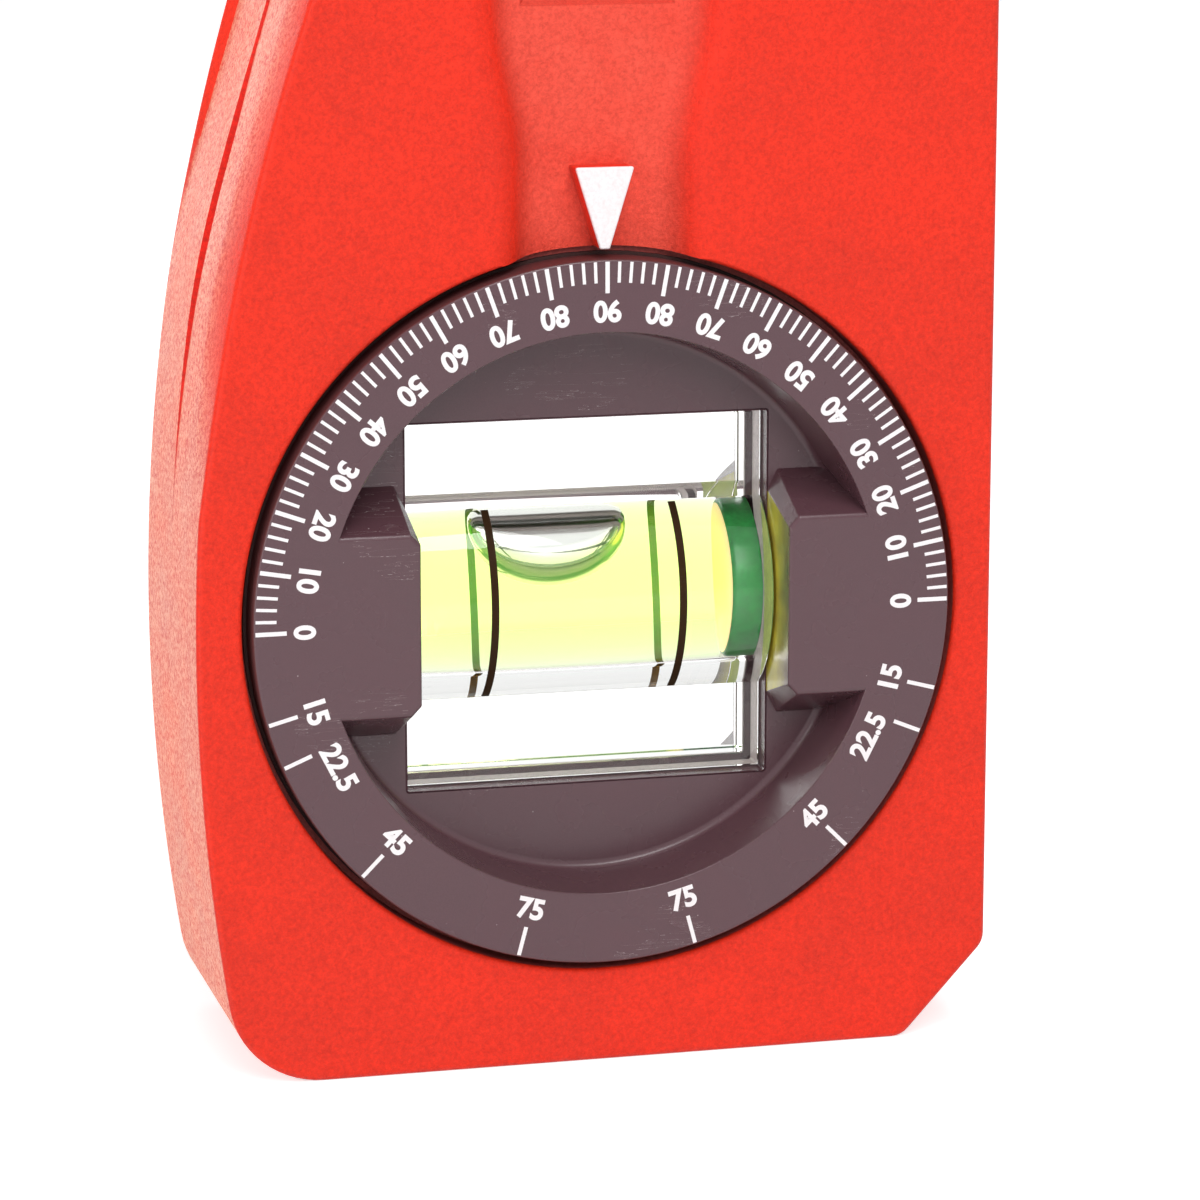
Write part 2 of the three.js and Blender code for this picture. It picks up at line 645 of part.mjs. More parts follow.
// The liquid, with the bubble as a hollow at its top.
function liquidShape() {
  const bubble = new THREE.SphereGeometry(1, 2 * BUBBLE_STEPS, BUBBLE_STEPS);
  bubble.scale(BUBBLE_LENGTH / 2, BUBBLE_WIDTH / 2, BUBBLE_DEPTH);
  bubble.translate(BUBBLE_OFFSET, 0, VIAL_BORE_RADIUS);
  return boreSolid(boreEnd + WET_GAP, plugInner - WET_GAP, WET_GAP).subtract(solid(bubble));
}

function plugShape() {
  const radius = vialRadius(blockHalf) - WET_GAP;
  return barAlongX(radius, plugInner, blockHalf, BORE_SIDES);
}

// A printed line round the front of the barrel, between the block's two flat shoulders.
function lineShape(x) {
  const shoulder = BLOCK_THICKNESS / 2 + LINE_END_GAP;
  const outer = barAlongX(BARREL_RADIUS + LINE_HEIGHT, x - LINE_WIDTH / 2, x + LINE_WIDTH / 2, BARREL_SIDES);
  const inner = barAlongX(BARREL_RADIUS + WET_GAP / 2, x - LINE_WIDTH, x + LINE_WIDTH, BARREL_SIDES);
  const reach = BARREL_RADIUS + OVERRUN;
  const front = box([x - LINE_WIDTH, -reach, -reach], [x + LINE_WIDTH, -shoulder, reach]);
  return outer.subtract(inner).intersect(front);
}

// Friction rings

// A flat ring in the gap between the dial's flange and its seat at the rear face.
function frictionRingShape() {
  const inner = boreRadius + RING_SIDE_GAP;
  const outer = seatRadius - RING_SIDE_GAP;
  const [low, high] = [seatFace + RING_CLEARANCE, flangeBack - RING_CLEARANCE];
  return turned([[inner, low], [outer, low], [outer, high], [inner, high], [inner, low]], DIAL_SIDES);
}

// Magnets

// A steel cup lying along X, open towards the base.
function cupShape() {
  const inner = MAGNET_RADIUS + CUP_GAP;
  const points = [
    [0, cupBack], [cupRadius, cupBack], [cupRadius, cupMouth], [inner, cupMouth],
    [inner, cupBack + CUP_WALL], [0, cupBack + CUP_WALL],
  ].map(([radius, x]) => new THREE.Vector2(radius, x));
  return solid(new THREE.LatheGeometry(points, CUP_SIDES).rotateZ(-Math.PI / 2));
}

// Assembly

const level = new THREE.Group();
const dialGroup = new THREE.Group();
dialGroup.position.set(dialX, 0, dialZ);
level.add(dialGroup);

function place(parent, name, shape, material) {
  const mesh = new THREE.Mesh(geometryOf(shape), material);
  mesh.name = name;
  parent.add(mesh);
  return mesh;
}

place(level, "body", bodyShape(), coat);
place(level, "front_pointer", pointerShape(), pointerPaint);
place(level, "rear_pointer", mirrored(pointerShape()), pointerPaint);

place(dialGroup, "front_dial", frontDialShape(), dialPlastic);
place(dialGroup, "rear_dial", rearDialShape(), dialPlastic);
place(dialGroup, "front_friction_ring", mirrored(frictionRingShape()), rubber);
place(dialGroup, "rear_friction_ring", frictionRingShape(), rubber);

place(dialGroup, "vial_block", vialBlockShape(), clearAcrylic);
place(dialGroup, "vial_liquid", liquidShape(), liquid);
place(dialGroup, "vial_plug", plugShape(), plugPlastic);
// The rear face carries the front's lines turned half a turn, so that its offset is the other way.
for (const [side, direction] of [["left", -1], ["right", 1]]) {
  const reach = (direction * LINE_SPACING) / 2;
  place(dialGroup, `front_${side}_line`, lineShape(LINE_OFFSET + reach), lineInk);
  place(dialGroup, `rear_${side}_line`, mirrored(lineShape(-LINE_OFFSET + reach)), lineInk);
}

screwPlaces().forEach(([x, z], i) => {
  place(dialGroup, `dial_screw_${i + 1}`, screwShape(), screwSteel).position.set(x, 0, z);
});

magnetHeights().forEach((z, i) => {
  const magnet = barAlongX(MAGNET_RADIUS, cupBack + CUP_WALL, cupMouth, CUP_SIDES);
  place(level, `magnet_${i + 1}`, magnet, magnetPlate).position.z = z;
  place(level, `magnet_cup_${i + 1}`, cupShape(), cupSteel).position.z = z;
});

export default level;
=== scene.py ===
import math

import bmesh
import bpy
import numpy as np
from bpy.props import FloatProperty, FloatVectorProperty, PointerProperty
from mathutils import Matrix, Vector


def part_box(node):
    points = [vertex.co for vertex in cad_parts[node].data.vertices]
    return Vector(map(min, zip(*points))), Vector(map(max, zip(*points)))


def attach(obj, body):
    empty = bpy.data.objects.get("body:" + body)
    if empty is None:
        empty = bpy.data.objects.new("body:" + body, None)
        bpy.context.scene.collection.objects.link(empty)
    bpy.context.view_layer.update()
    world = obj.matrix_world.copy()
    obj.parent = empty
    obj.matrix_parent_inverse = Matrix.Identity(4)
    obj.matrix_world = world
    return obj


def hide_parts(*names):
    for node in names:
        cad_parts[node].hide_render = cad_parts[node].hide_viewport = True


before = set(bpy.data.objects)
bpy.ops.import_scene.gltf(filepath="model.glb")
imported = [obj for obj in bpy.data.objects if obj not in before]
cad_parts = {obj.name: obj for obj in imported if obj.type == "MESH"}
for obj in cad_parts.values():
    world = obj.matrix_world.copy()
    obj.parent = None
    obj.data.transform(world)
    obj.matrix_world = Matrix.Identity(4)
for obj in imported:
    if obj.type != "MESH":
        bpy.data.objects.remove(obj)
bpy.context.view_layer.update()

bl_info = {
    "name": "Pocket level",
    "version": (1, 0, 0),
    "blender": (4, 5, 0),
    "location": "View3D > Sidebar > Level",
    "description": "Builds a pocket level with a turning vial dial, and the stage round it",
    "category": "Object",
}

# Shapes are drawn in millimetres and scaled once they are whole.
MM = 0.001


def node_box(name):
    """The lowest and highest corner of a node of the frame, in millimetres."""
    low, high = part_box(name)
    return np.array(low) / MM, np.array(high) / MM


BODY_HIGH = node_box("body")[1]
DIAL_LOW, DIAL_HIGH = node_box("front_dial")
PLUG_LOW = node_box("vial_plug")[0]

# Main sizes, read from the frame
BODY_LENGTH = BODY_HIGH[2]
BODY_HALF_WIDTH = BODY_HIGH[0]
BODY_FACE = BODY_HIGH[1]
DIAL_CENTRE = (DIAL_LOW + DIAL_HIGH) / 2 * (1, 0, 1)
DIAL_RADIUS = (DIAL_HIGH[0] - DIAL_LOW[0]) / 2
DIAL_FACE = -DIAL_LOW[1]

# Dial
DIAL_EDGE = 0.25
FLANGE_THICKNESS = 2.4
PRINTED_RING_WIDTH = 4.55
PRINTED_RING_ROUND = 0.12
DISH_DEPTH = 5
DISH_WALL_RUN = 0.45
DISH_FOOT_RADIUS = 0.5
WINDOW_CORNER_GAP = 1.233
WINDOW_ROUND = 0.12
LUG_HALF_HEIGHT = 5.7
LUG_FOOT_SPREAD = 2.25
LUG_CORNER = 0.65
LUG_CORNER_SPREAD = 0.7
LUG_GAP = 0.15
LUG_ROUND = 0.22
LUG_SINK = 0.005

# Screws and their holes
SCREW_WALL = 0.6
SCREW_GAP = 0.15
SCREW_REACH = 2.3
SCREW_SPREAD = 4.5
SCREW_RADIUS = 0.9
SCREW_HEAD_RADIUS = 1.5
SCREW_HEAD_HEIGHT = 0.9
SCREW_HEAD_SINK = 0.1
SCREW_HEAD_ROUND = 0.28
DRIVER_SLOT_WIDTH = 0.35
DRIVER_SLOT_LENGTH = 1.8
DRIVER_SLOT_DEPTH = 0.45

# Vial
WINDOW_GAP = 0.1
BLOCK_THICKNESS = 8.2
BLOCK_EDGE = 0.16
BARREL_RADIUS = 7.35
BARREL_EDGE = 0.12
RIM_WIDTH = 0.5
RIM_THICKNESS = 3
RIM_GAP = 0.1
BOND_FRONT = 0.2
BOND_REAR = 2.2
VIAL_BORE_RADIUS = 3.7
VIAL_BORE_TAPER = 0.1
VIAL_END_WALL = 0.8
WET_GAP = 0.03
BUBBLE_LENGTH = 10.4
BUBBLE_DEPTH = 3.6
BUBBLE_SHOULDER = 0.7
BUBBLE_WIDTH = 6.4
BUBBLE_OFFSET = -1.8
BUBBLE_FILM = 0.08
BUBBLE_ROUNDNESS = 14
LEAST_SQUARE = 1e-9
PLUG_ROUND = 0.35
LINE_WIDTH = 0.48
LINE_HEIGHT = 0.06
LINE_SPACING = 12.2
LINE_OFFSET = -0.42
LINE_END_GAP = 0.2

# Body: its outline and the seat of the dial
SEAT_GAP = 0.55
SEAT_DEPTH = 2.4
SEAT_WIDTH = 2.15
SEAT_EDGE = 0.3
HUB_GAP = 0.2
GRIP_RADIUS = 140
GRIP_MIDDLE_HEIGHT = 27
BOTTOM_CORNER_RADIUS = 6
TOP_CORNER_RADIUS = 9
CHAMFER_WIDTH = 5.5
CHAMFER_HEIGHT = 6
CHAMFER_ROUND = 1.5
BODY_EDGE = 0.4

# Body: the grip side, with its front bevel, its raised rear edge and the groove between them
BEVEL_TIP = 36
BEVEL_START = 49
BEVEL_MIDDLE = 67
BEVEL_WIDTH = 1.63
BEVEL_OPENING = 0.8
BEVEL_DEPTH = 3
BEVEL_TOP_MARGIN = 5
RELIEF = 0.9
RELIEF_START = 47
RELIEF_FULL = 67
RELIEF_TOP_MARGIN = 15
FLARE_DEPTH = 0.8
GROOVE_RUN = 2.0
GROOVE_WALL = 0.1
GROOVE_DEPTH = 0.45
GROOVE_HAIRLINE = 0.2
GROOVE_START = 34
GROOVE_MIDDLE = 56
GROOVE_FADE = 70

# Body: the recesses and the pointers in them
RECESS_DEPTH = 1.9
RECESS_NARROW_HALF = 4.62
RECESS_WIDE_HALF = 6.05
RECESS_WALL_RUN = 1.44
RECESS_ROUND = 2.2
RECESS_FLARE_START = 5.5
RECESS_FLARE_END = 15
RECESS_TOP_MARGIN = 13
RECESS_CORNER_RADIUS = 4
RECESS_STEP_SHARE = 0.4222
RECESS_STEP_DEPTH = 0.45
RECESS_STEP_LEDGE = 0.05
RECESS_OVERLAP = 3
POINTER_HALF_WIDTH = 1.86
POINTER_TIP_HALF = 0.3
POINTER_HEIGHT = 5.05
POINTER_PROUD = 0.1
POINTER_THICKNESS = 0.3
POINTER_EDGE = 0.12

# Body: the measuring base and its magnets
BASE_GROOVE_WIDTH = 8
BASE_GROOVE_DEPTH = 2
MAGNET_EDGE = 0.25
CUP_WALL = 0.7
CUP_GAP = 0.1
CUP_EDGE = 0.12

# Print on the dial: radii are shares of the printed radius, angles are degrees from the 0 mark
PRINT_RADIUS = 22.25
PRINT_PROUD = 0.02
PRINT_SUNK = 0.01
MINOR_TICK_SHARE = 0.9415
MAJOR_TICK_SHARE = 0.9127
LOWER_TICK_SHARE = 0.9164
NUMBER_SHARE = 0.862
TICK_STEP = 2
NUMBER_STEP = 10
HALF_TURN = 180
QUARTER_TURN = 90
LOWER_MARKS = ((15, "15", 15), (22.5, "22.5", 26.8), (45, "45", 45), (75, "75", 75))

# Every cut runs this far past what it cuts.
OVERRUN = 1

# Facets of the round shapes
ROUND_SIDES = 256
SMALL_ROUND_SIDES = 96
GRIP_STEPS = 96
CORNER_STEPS = 14
EDGE_STEPS = 4
RECESS_STEPS = 40
RECESS_ROUND_STEPS = 8
BUBBLE_STEPS = 72
LINE_STEPS = 40
TAPER_STEPS = 10
NUMBER_STEPS = 6
CREASE = math.radians(28)

# Numbers of the materials of the body, the dial halves, the clear block and the plug
COAT, WELL_SHADE, OUTSIDE, GROOVE_SHADE = range(4)
PLASTIC, VIAL_LIGHT_PAINTED, RIM_SHADE = range(3)
CLEAR, WET, BONDED, BONDED_END = range(4)
PLUG_SIDE, PLUG_END = range(2)

# How near a finished surface a face lies, and how it is turned, to get that surface's material
MARK_REACH = 0.03
OUTSIDE_REACH = 2.5
OUTSIDE_TURN = 0.8
RIM_TURN = 0.8
BOND_TURN = 0.03
END_TURN = 0.5

# How each finish looks: roughness, then the sizes of its grain and clouds and the depth of its relief in
# millimetres, then how far its tones part, its share of dust and its gloss
PLAIN_GLOSS = 0.5
LINE_INK = dict(roughness=0.6, grain=0.1, cloud=0.8, relief=0.01, contrast=0.3, dust=0.1, gloss=0.15)
FINISHES = {
    "Powder coat": dict(cloud=7.0, contrast=0.26, gloss=0.3),
    "Powder coat outside": dict(cloud=7.0, contrast=0.26, gloss=0.15),
    # painted shade down in the grip side's groove
    "Groove coat": dict(roughness=0.7, cloud=3.0, relief=0.02, contrast=0.3, gloss=0.3),
    # painted shade of the seat behind the dial's edge
    "Dial well finish": dict(roughness=0.6, cloud=2.0, relief=0.02, contrast=0.3),
    "Pointer paint": dict(roughness=0.5, cloud=1.0, relief=0.03, contrast=0.12),
    "Dial plastic": dict(roughness=0.27, grain=0.09, cloud=5.0, relief=0.006, contrast=0.10, dust=0.6),
    # painted shade of the dial's outer rim in the gap by the red seat
    "Dial rim": dict(roughness=0.6, grain=0.09, cloud=5.0, relief=0.006, contrast=0.1),
    "Print ink": dict(roughness=0.5, grain=0.06, cloud=1.5, relief=0.004, contrast=0.05),
    "Line ink": LINE_INK,
    "Rear line ink": LINE_INK,
    "Bonded side": dict(roughness=0.5, grain=0.3, cloud=2.0, relief=0.02, contrast=0.35),
    # bonded end, pale yellow as painted light from the vial
    "Bonded end": dict(roughness=0.5, grain=0.3, cloud=2.0, relief=0.02, contrast=0.2),
    "Plug plastic": dict(roughness=0.35, grain=0.5, cloud=2.0, relief=0.01, contrast=0.25),
    # pale end with a painted glow, standing in for the liquid's light
    "Plug end": dict(roughness=0.35, grain=0.5, cloud=2.0, relief=0.01, contrast=0.05),
    "Ring rubber": dict(roughness=0.8, grain=0.2, cloud=3.0, relief=0.02, contrast=0.3),
    "Screw steel": dict(roughness=0.34, mark=0.12, relief=0.006),
    "Magnet plating": dict(roughness=0.26, mark=0.3, relief=0.004),
    "Cup steel": dict(roughness=0.38, mark=0.1, relief=0.006),
}

# Noise of the shared effects, as detail and raggedness, and the parts of it that they use
GRAIN_NOISE = (4.0, 0.8)
CLOUD_NOISE = (4.0, 0.5)
SCRATCH_NOISE = (3.0, 0.8)
PATCH_NOISE = (1.0, 0.5)
MARK_NOISE = (4.0, 0.7)
TARNISH_NOISE = (5.0, 0.6)
NOISE_MIDDLE = 0.5
NOISE_SPREAD = (0.3, 0.7)
TARNISH_SPREAD = (0.35, 0.65)
BARE_CELLS = 0.6
BARE_PATCHES = 0.64
SCRATCH_THINNESS = 0.0016
SCRATCH_STRETCH = (1.0, 1.0, 14.0)
SCRATCH_TURN = (0.7, 0.4, 0.5)
MARK_STRETCH = (0.08, 1.0, 1.0)

# Tones and limits of the finishes
RESIN_IOR = 1.5
ROUGHNESS_SWING = 0.05
METAL_SWING = (0.08, 0.1)
TARNISH_TONE = 0.8
DUST_COLOUR = (0.5, 0.42, 0.42)
# Recess floors: a paler, pinker tone, partly a painted highlight for their gloss; the foot of their walls:
# painted shade
RECESS_PATCHES = (-0.6, 0.6)
RECESS_CONTRAST = 0.3
RECESS_SHARE = 0.8
FOOT_SHADE_TURN = (0.995, 0.80)
FOOT_SHADE = 0.28
FOOT_SHADE_TONE = 0.2
# Painted sheen of the outside coat: how it grows as a side is seen edge on, how level a face may lie, which
# grain points glint
SHEEN_BLEND = 0.5
SHEEN_POWER = 2.5
SHEEN_TURN = (0.24, 0.06)
SHEEN_POINTS = (0.25, 0.75)
# Painted vial light on the dial's walls beside the vial
LIT_ROUGHNESS = 0.18
LIT_GRAIN = {"Grain size": 0.4, "Cloud size": 2.0}
LIT_PATCHES = (-1.0, 1.0)
CLEAR_DUST = {"Speck spacing": 1.1, "Speck size": 0.03}
CLEAR_DUST_TONE = 0.6
ACRYLIC_DUST = 0.5
SKIN_ROUGHNESS = 0.12

# Stage, in metres: each lamp's place and width, and whether glossy surfaces mirror it
LAMPS = {
    "key": ((-0.02, -0.52, 0.38), 0.30, False),
    "top": ((0.02, -0.24, 0.50), 0.20, True),
    "side": ((-0.45, -0.08, 0.14), 0.35, True),
    "back": ((-0.22, 0.62, 0.14), 0.30, True),
}
FLOOR_HALF = 3.0
FLOOR_ROUGHNESS = 0.6
FLOOR_IOR = 1.3
FLOOR_GLOW = 0.62
CAMERA_CLIP = 0.01

# Places that follow from the sizes above
SEAT_RADIUS = DIAL_RADIUS + SEAT_GAP
BORE_RADIUS = SEAT_RADIUS - SEAT_WIDTH
HUB_RADIUS = BORE_RADIUS - HUB_GAP
SEAT_FACE = BODY_FACE - SEAT_DEPTH
FLOOR_FACE = DIAL_FACE - DISH_DEPTH
FLANGE_BACK = DIAL_FACE - FLANGE_THICKNESS
PRINTED_INNER = DIAL_RADIUS - PRINTED_RING_WIDTH
WINDOW_HALF = (PRINTED_INNER - WINDOW_CORNER_GAP) / math.sqrt(2)
BLOCK_HALF = WINDOW_HALF - WINDOW_GAP
RIM_HALF = BLOCK_HALF + RIM_WIDTH
POCKET_HALF = RIM_HALF + RIM_GAP
LUG_INNER = WINDOW_HALF + LUG_GAP / 2
HEAD_SEAT = FLOOR_FACE - SCREW_HEAD_HEIGHT - SCREW_HEAD_SINK
HOLE_RADIUS = SCREW_RADIUS + SCREW_GAP
GRIP_CENTRE = np.array([GRIP_RADIUS - BODY_HALF_WIDTH, GRIP_MIDDLE_HEIGHT])
BEVEL_TOP = BODY_LENGTH - BEVEL_TOP_MARGIN
SEAT_TOP = DIAL_CENTRE[2] + SEAT_RADIUS
RECESS_TOP = BODY_LENGTH - RECESS_TOP_MARGIN - SEAT_TOP
RECESS_TONE_START = BODY_FACE - RECESS_DEPTH / 3
BORE_END = VIAL_END_WALL - BLOCK_HALF
PLUG_INNER = PLUG_LOW[0] - DIAL_CENTRE[0]
SHOULDER = BLOCK_THICKNESS / 2
POINTER_BACK = -BODY_FACE - POINTER_PROUD + POINTER_THICKNESS


# Outlines


def unit(vector):
    """A vector at length 1."""
    return vector / np.linalg.norm(vector)


def blend(start, end, share):
    """The value a share of the way from one to the other."""
    return start + (end - start) * share


def rise(value, start, end):
    """A smooth rise from 0 to 1 between two places."""
    share = min(max((value - start) / (end - start), 0), 1)
    return share * share * (3 - 2 * share)


def arc(centre, radius, start, end, steps):
    """Points on an arc, both ends included."""
    angles = np.linspace(start, end, steps + 1)
    return np.array(centre) + radius * np.column_stack([np.cos(angles), np.sin(angles)])


def rounded_corner(before, corner, after, radius, steps=EDGE_STEPS):
    """The corner between two straight lines, rounded to a radius."""
    before, corner, after = (np.array(point, float) for point in (before, corner, after))
    back, ahead = unit(before - corner), unit(after - corner)
    half = math.acos(back @ ahead) / 2
    centre = corner + unit(back + ahead) * radius / math.sin(half)
    start = corner + back * radius / math.tan(half) - centre
    end = corner + ahead * radius / math.tan(half) - centre
    turn = math.atan2(start[0] * end[1] - start[1] * end[0], start @ end)
    first = math.atan2(start[1], start[0])
    return arc(centre, radius, first, first + turn, steps)


def rounded_outline(corners, radius, steps=EDGE_STEPS):
    """A closed outline with all its corners rounded alike."""
    count = len(corners)
    return np.concatenate([
        rounded_corner(corners[i - 1], corners[i], corners[(i + 1) % count], radius, steps)
        for i in range(count)
    ])


def square(half):
    """The corners of a square round the origin."""
    return np.array([(-half, -half), (half, -half), (half, half), (-half, half)], float)


def ring_at(outline, offset, y):
    """An outline in X and Z, moved out along its own normals and placed at depth y."""
    along = np.roll(outline, -1, axis=0) - np.roll(outline, 1, axis=0)
    along /= np.linalg.norm(along, axis=1)[:, None]
    x = outline[:, 0] + along[:, 1] * offset
    z = outline[:, 1] - along[:, 0] * offset
    return np.column_stack([x, np.full(len(outline), y), z])


def edge_rounding(radius):
    """How far each level of a rounded edge is drawn in, and how far it lies under the face."""
    angles = np.linspace(0, math.pi / 2, EDGE_STEPS + 1)
    return [(radius * (1 - math.sin(angle)), radius * (1 - math.cos(angle))) for angle in angles]


# Solids


def in_scene(name, data):
    """An object with its data, linked into the scene."""
    thing = bpy.data.objects.new(name, data)
    bpy.context.scene.collection.objects.link(thing)
    return thing


def solid(points, faces):
    """A closed mesh as an object, with its faces turned out."""
    mesh = bpy.data.meshes.new("solid")
    mesh.from_pydata([tuple(point) for point in points], [], faces)
    shape = bmesh.new()
    shape.from_mesh(mesh)
    bmesh.ops.recalc_face_normals(shape, faces=shape.faces)
    shape.to_mesh(mesh)
    shape.free()
    return in_scene("solid", mesh)


def faces_between(rows):
    """The faces between closed rows of points; a row may be one point that is repeated."""
    faces = []
    for low, high in zip(rows, rows[1:]):
        for i in range(len(low)):
            j = (i + 1) % len(low)
            corners = list(dict.fromkeys([low[i], low[j], high[j], high[i]]))
            if len(corners) > 2:
                faces.append(corners)
    return faces


def loft(rings):
    """A body through a stack of outlines with the same count of points, flat at both ends."""
    count = len(rings[0])
    rows = [list(range(k * count, (k + 1) * count)) for k in range(len(rings))]
    return solid(np.concatenate(rings), [rows[0], rows[-1], *faces_between(rows)])


def lathe(profile, sides=SMALL_ROUND_SIDES, axis="Y"):
    """A round body about an axis, from radius and place points that start and end on it."""
    angles = np.linspace(0, 2 * math.pi, sides, endpoint=False)
    points, rows = [], []
    for radius, place in profile:
        start = len(points)
        if radius:
            points += [(radius * math.cos(a), place, radius * math.sin(a)) for a in angles]
            rows.append(list(range(start, start + sides)))
        else:
            points.append((0, place, 0))
            rows.append([start] * sides)
    if axis == "X":
        points = [(y, x, z) for x, y, z in points]
    return solid(points, faces_between(rows))


def box(low, high):
    """A box by its lowest and highest corners."""
    left, right, bottom, top = low[0], high[0], low[2], high[2]
    outline = np.array([(left, bottom), (right, bottom), (right, top), (left, top)], float)
    return loft([ring_at(outline, 0, low[1]), ring_at(outline, 0, high[1])])


def moved(thing, place):
    """The same solid in another place."""
    thing.data.transform(Matrix.Translation(Vector(place)))
    return thing


def faced_back(thing):
    """The same solid turned half a turn about Z, from the front face to the rear one."""
    thing.data.transform(Matrix.Rotation(math.pi, 4, "Z"))
    return thing


def mirrored(thing):
    """The same solid as seen in a mirror across the middle of the body's thickness."""
    thing.data.transform(Matrix.Scale(-1, 4, Vector((0, 1, 0))))
    thing.data.flip_normals()
    return thing


def combine(base, tool, operation):
    """The base with the tool cut out of it or joined to it; the tool is used up."""
    modifier = base.modifiers.new(operation, "BOOLEAN")
    modifier.operation = operation
    modifier.solver = "EXACT"
    modifier.object = tool
    graph = bpy.context.evaluated_depsgraph_get()
    mesh = bpy.data.meshes.new_from_object(base.evaluated_get(graph))
    base.modifiers.clear()
    base.data = mesh
    bpy.data.objects.remove(tool)
    return base


def cut(base, *tools):
    """The base without the tools."""
    for tool in tools:
        combine(base, tool, "DIFFERENCE")
    return base


def joined(base, *tools):
    """The base and the tools as one solid."""
    for tool in tools:
        combine(base, tool, "UNION")
    return base


def gathered(things):
    """Several solids that don't touch, as one object."""
    whole = bmesh.new()
    for thing in things:
        whole.from_mesh(thing.data)
        bpy.data.objects.remove(thing)
    mesh = bpy.data.meshes.new("gathered")
    whole.to_mesh(mesh)
    whole.free()
    return in_scene("gathered", mesh)


def shade(thing):
    """Smooth faces with crisp edges."""
    thing.data.shade_smooth()
    thing.data.set_sharp_from_angle(angle=CREASE)
    normals = thing.modifiers.new("Weighted normals", "WEIGHTED_NORMAL")
    normals.keep_sharp = True


def piece(thing, name, body, materials, stands_for=()):
    """A solid in millimetres as a named piece of the level, on the body that it rides on."""
    thing.name = name
    thing.data.name = name
    thing.data.transform(Matrix.Scale(MM, 4))
    for material in materials:
        thing.data.materials.append(material)
    shade(thing)
    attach(thing, body)
    if stands_for:
        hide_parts(*stands_for)
    return thing


def dress(node, material):
    """A node of the frame that stays, with its finish."""
    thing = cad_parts[node]
    thing.data.materials.clear()
    thing.data.materials.append(material)
    shade(thing)


# Shaders


def new_material(name):
    """A material with its node tree and its Principled shader."""
    material = bpy.data.materials.new(name)
    material.use_nodes = True
    tree = material.node_tree
    return material, tree, tree.nodes["Principled BSDF"]


def set_inputs(node, values):
    """Sets the sockets of a node by name."""
    for name, value in values.items():
        node.inputs[name].default_value = value


def add_node(tree, kind, values=None, **settings):
    """A node with its settings and socket values."""
    node = tree.nodes.new(kind)
    for name, value in settings.items():
        setattr(node, name, value)
    set_inputs(node, values or {})
    return node


def math_node(tree, operation, first, second=0.0):
    """A sum with one or two values, each a socket or a number."""
    node = add_node(tree, "ShaderNodeMath", operation=operation)
    for socket, value in zip(node.inputs, (first, second)):
        if isinstance(value, bpy.types.NodeSocket):
            tree.links.new(value, socket)
        else:
            socket.default_value = value
    return node.outputs[0]


def spread(tree, value, low, high):
    """A value between two limits, spread over 0 to 1."""
    ranged = add_node(tree, "ShaderNodeMapRange", {"From Min": low, "From Max": high})
    tree.links.new(value, ranged.inputs["Value"])
    return ranged.outputs["Result"]


def coordinate(tree, kind):
    """The place on the object or its normal there, as a texture coordinate."""
    return add_node(tree, "ShaderNodeTexCoord").outputs[kind]


def stretched(tree, place, scale, turn=(0, 0, 0)):
    """A place turned and scaled, for marks that run one way."""
    node = add_node(tree, "ShaderNodeMapping", {"Rotation": turn, "Scale": scale})
    tree.links.new(place, node.inputs["Vector"])
    return node.outputs["Vector"]


def per_metre(tree, size):
    """A texture scale from a size in millimetres."""
    return math_node(tree, "DIVIDE", 1 / MM, size)


def noise(tree, place, size, detail, roughness):
    """A noise texture whose features have a size in millimetres."""
    texture = add_node(tree, "ShaderNodeTexNoise", {"Detail": detail, "Roughness": roughness})
    tree.links.new(place, texture.inputs["Vector"])
    tree.links.new(per_metre(tree, size), texture.inputs["Scale"])
    return texture.outputs["Fac"]


def mix_colours(tree, mask, first, second, blend_type="MIX"):
    """One colour turning into another where the mask says; each is a socket or a plain colour."""
    node = add_node(tree, "ShaderNodeMix", data_type="RGBA", blend_type=blend_type)
    if isinstance(mask, bpy.types.NodeSocket):
        tree.links.new(mask, node.inputs["Factor"])
    else:
        node.inputs["Factor"].default_value = mask
    for socket, colour in ((node.inputs[6], first), (node.inputs[7], second)):
        if isinstance(colour, bpy.types.NodeSocket):
            tree.links.new(colour, socket)
        else:
            socket.default_value = (*colour, 1)
    return node.outputs[2]


def scaled(colour, share):
    """A colour made lighter or darker."""
    return tuple(min(part * share, 1) for part in colour)


def two_toned(tree, mask, colour, contrast):
    """A colour that is darker where the mask is low and lighter where it is high."""
    return mix_colours(tree, mask, scaled(colour, 1 - contrast), scaled(colour, 1 + contrast))


def off_middle(tree, vector):
    """How far a vector points off the object's middle plane, to either side."""
    parts = add_node(tree, "ShaderNodeSeparateXYZ")
    tree.links.new(vector, parts.inputs["Vector"])
    return math_node(tree, "ABSOLUTE", parts.outputs["Y"])


def between_depths(tree, low, high):
    """0 to 1 between two distances from the object's middle plane, in millimetres."""
    return spread(tree, off_middle(tree, coordinate(tree, "Object")), low * MM, high * MM)


def levelness(tree, low, high):
    """How level a place of the surface is with the object's two faces, from none to full."""
    return spread(tree, off_middle(tree, coordinate(tree, "Normal")), low, high)


def uneven_roughness(tree, shader, mask, low, high):
    """Roughness that changes between two values as the mask says."""
    uneven = add_node(tree, "ShaderNodeMapRange", {"To Min": low, "To Max": high})
    tree.links.new(mask, uneven.inputs["Value"])
    tree.links.new(uneven.outputs["Result"], shader.inputs["Roughness"])


def bump(tree, shader, height, depth):
    """Relief of a depth in millimetres on the shader's normal."""
    node = add_node(tree, "ShaderNodeBump", {"Strength": 1.0, "Distance": depth * MM})
    tree.links.new(height, node.inputs["Height"])
    tree.links.new(node.outputs["Normal"], shader.inputs["Normal"])


# Shared effects, as node groups


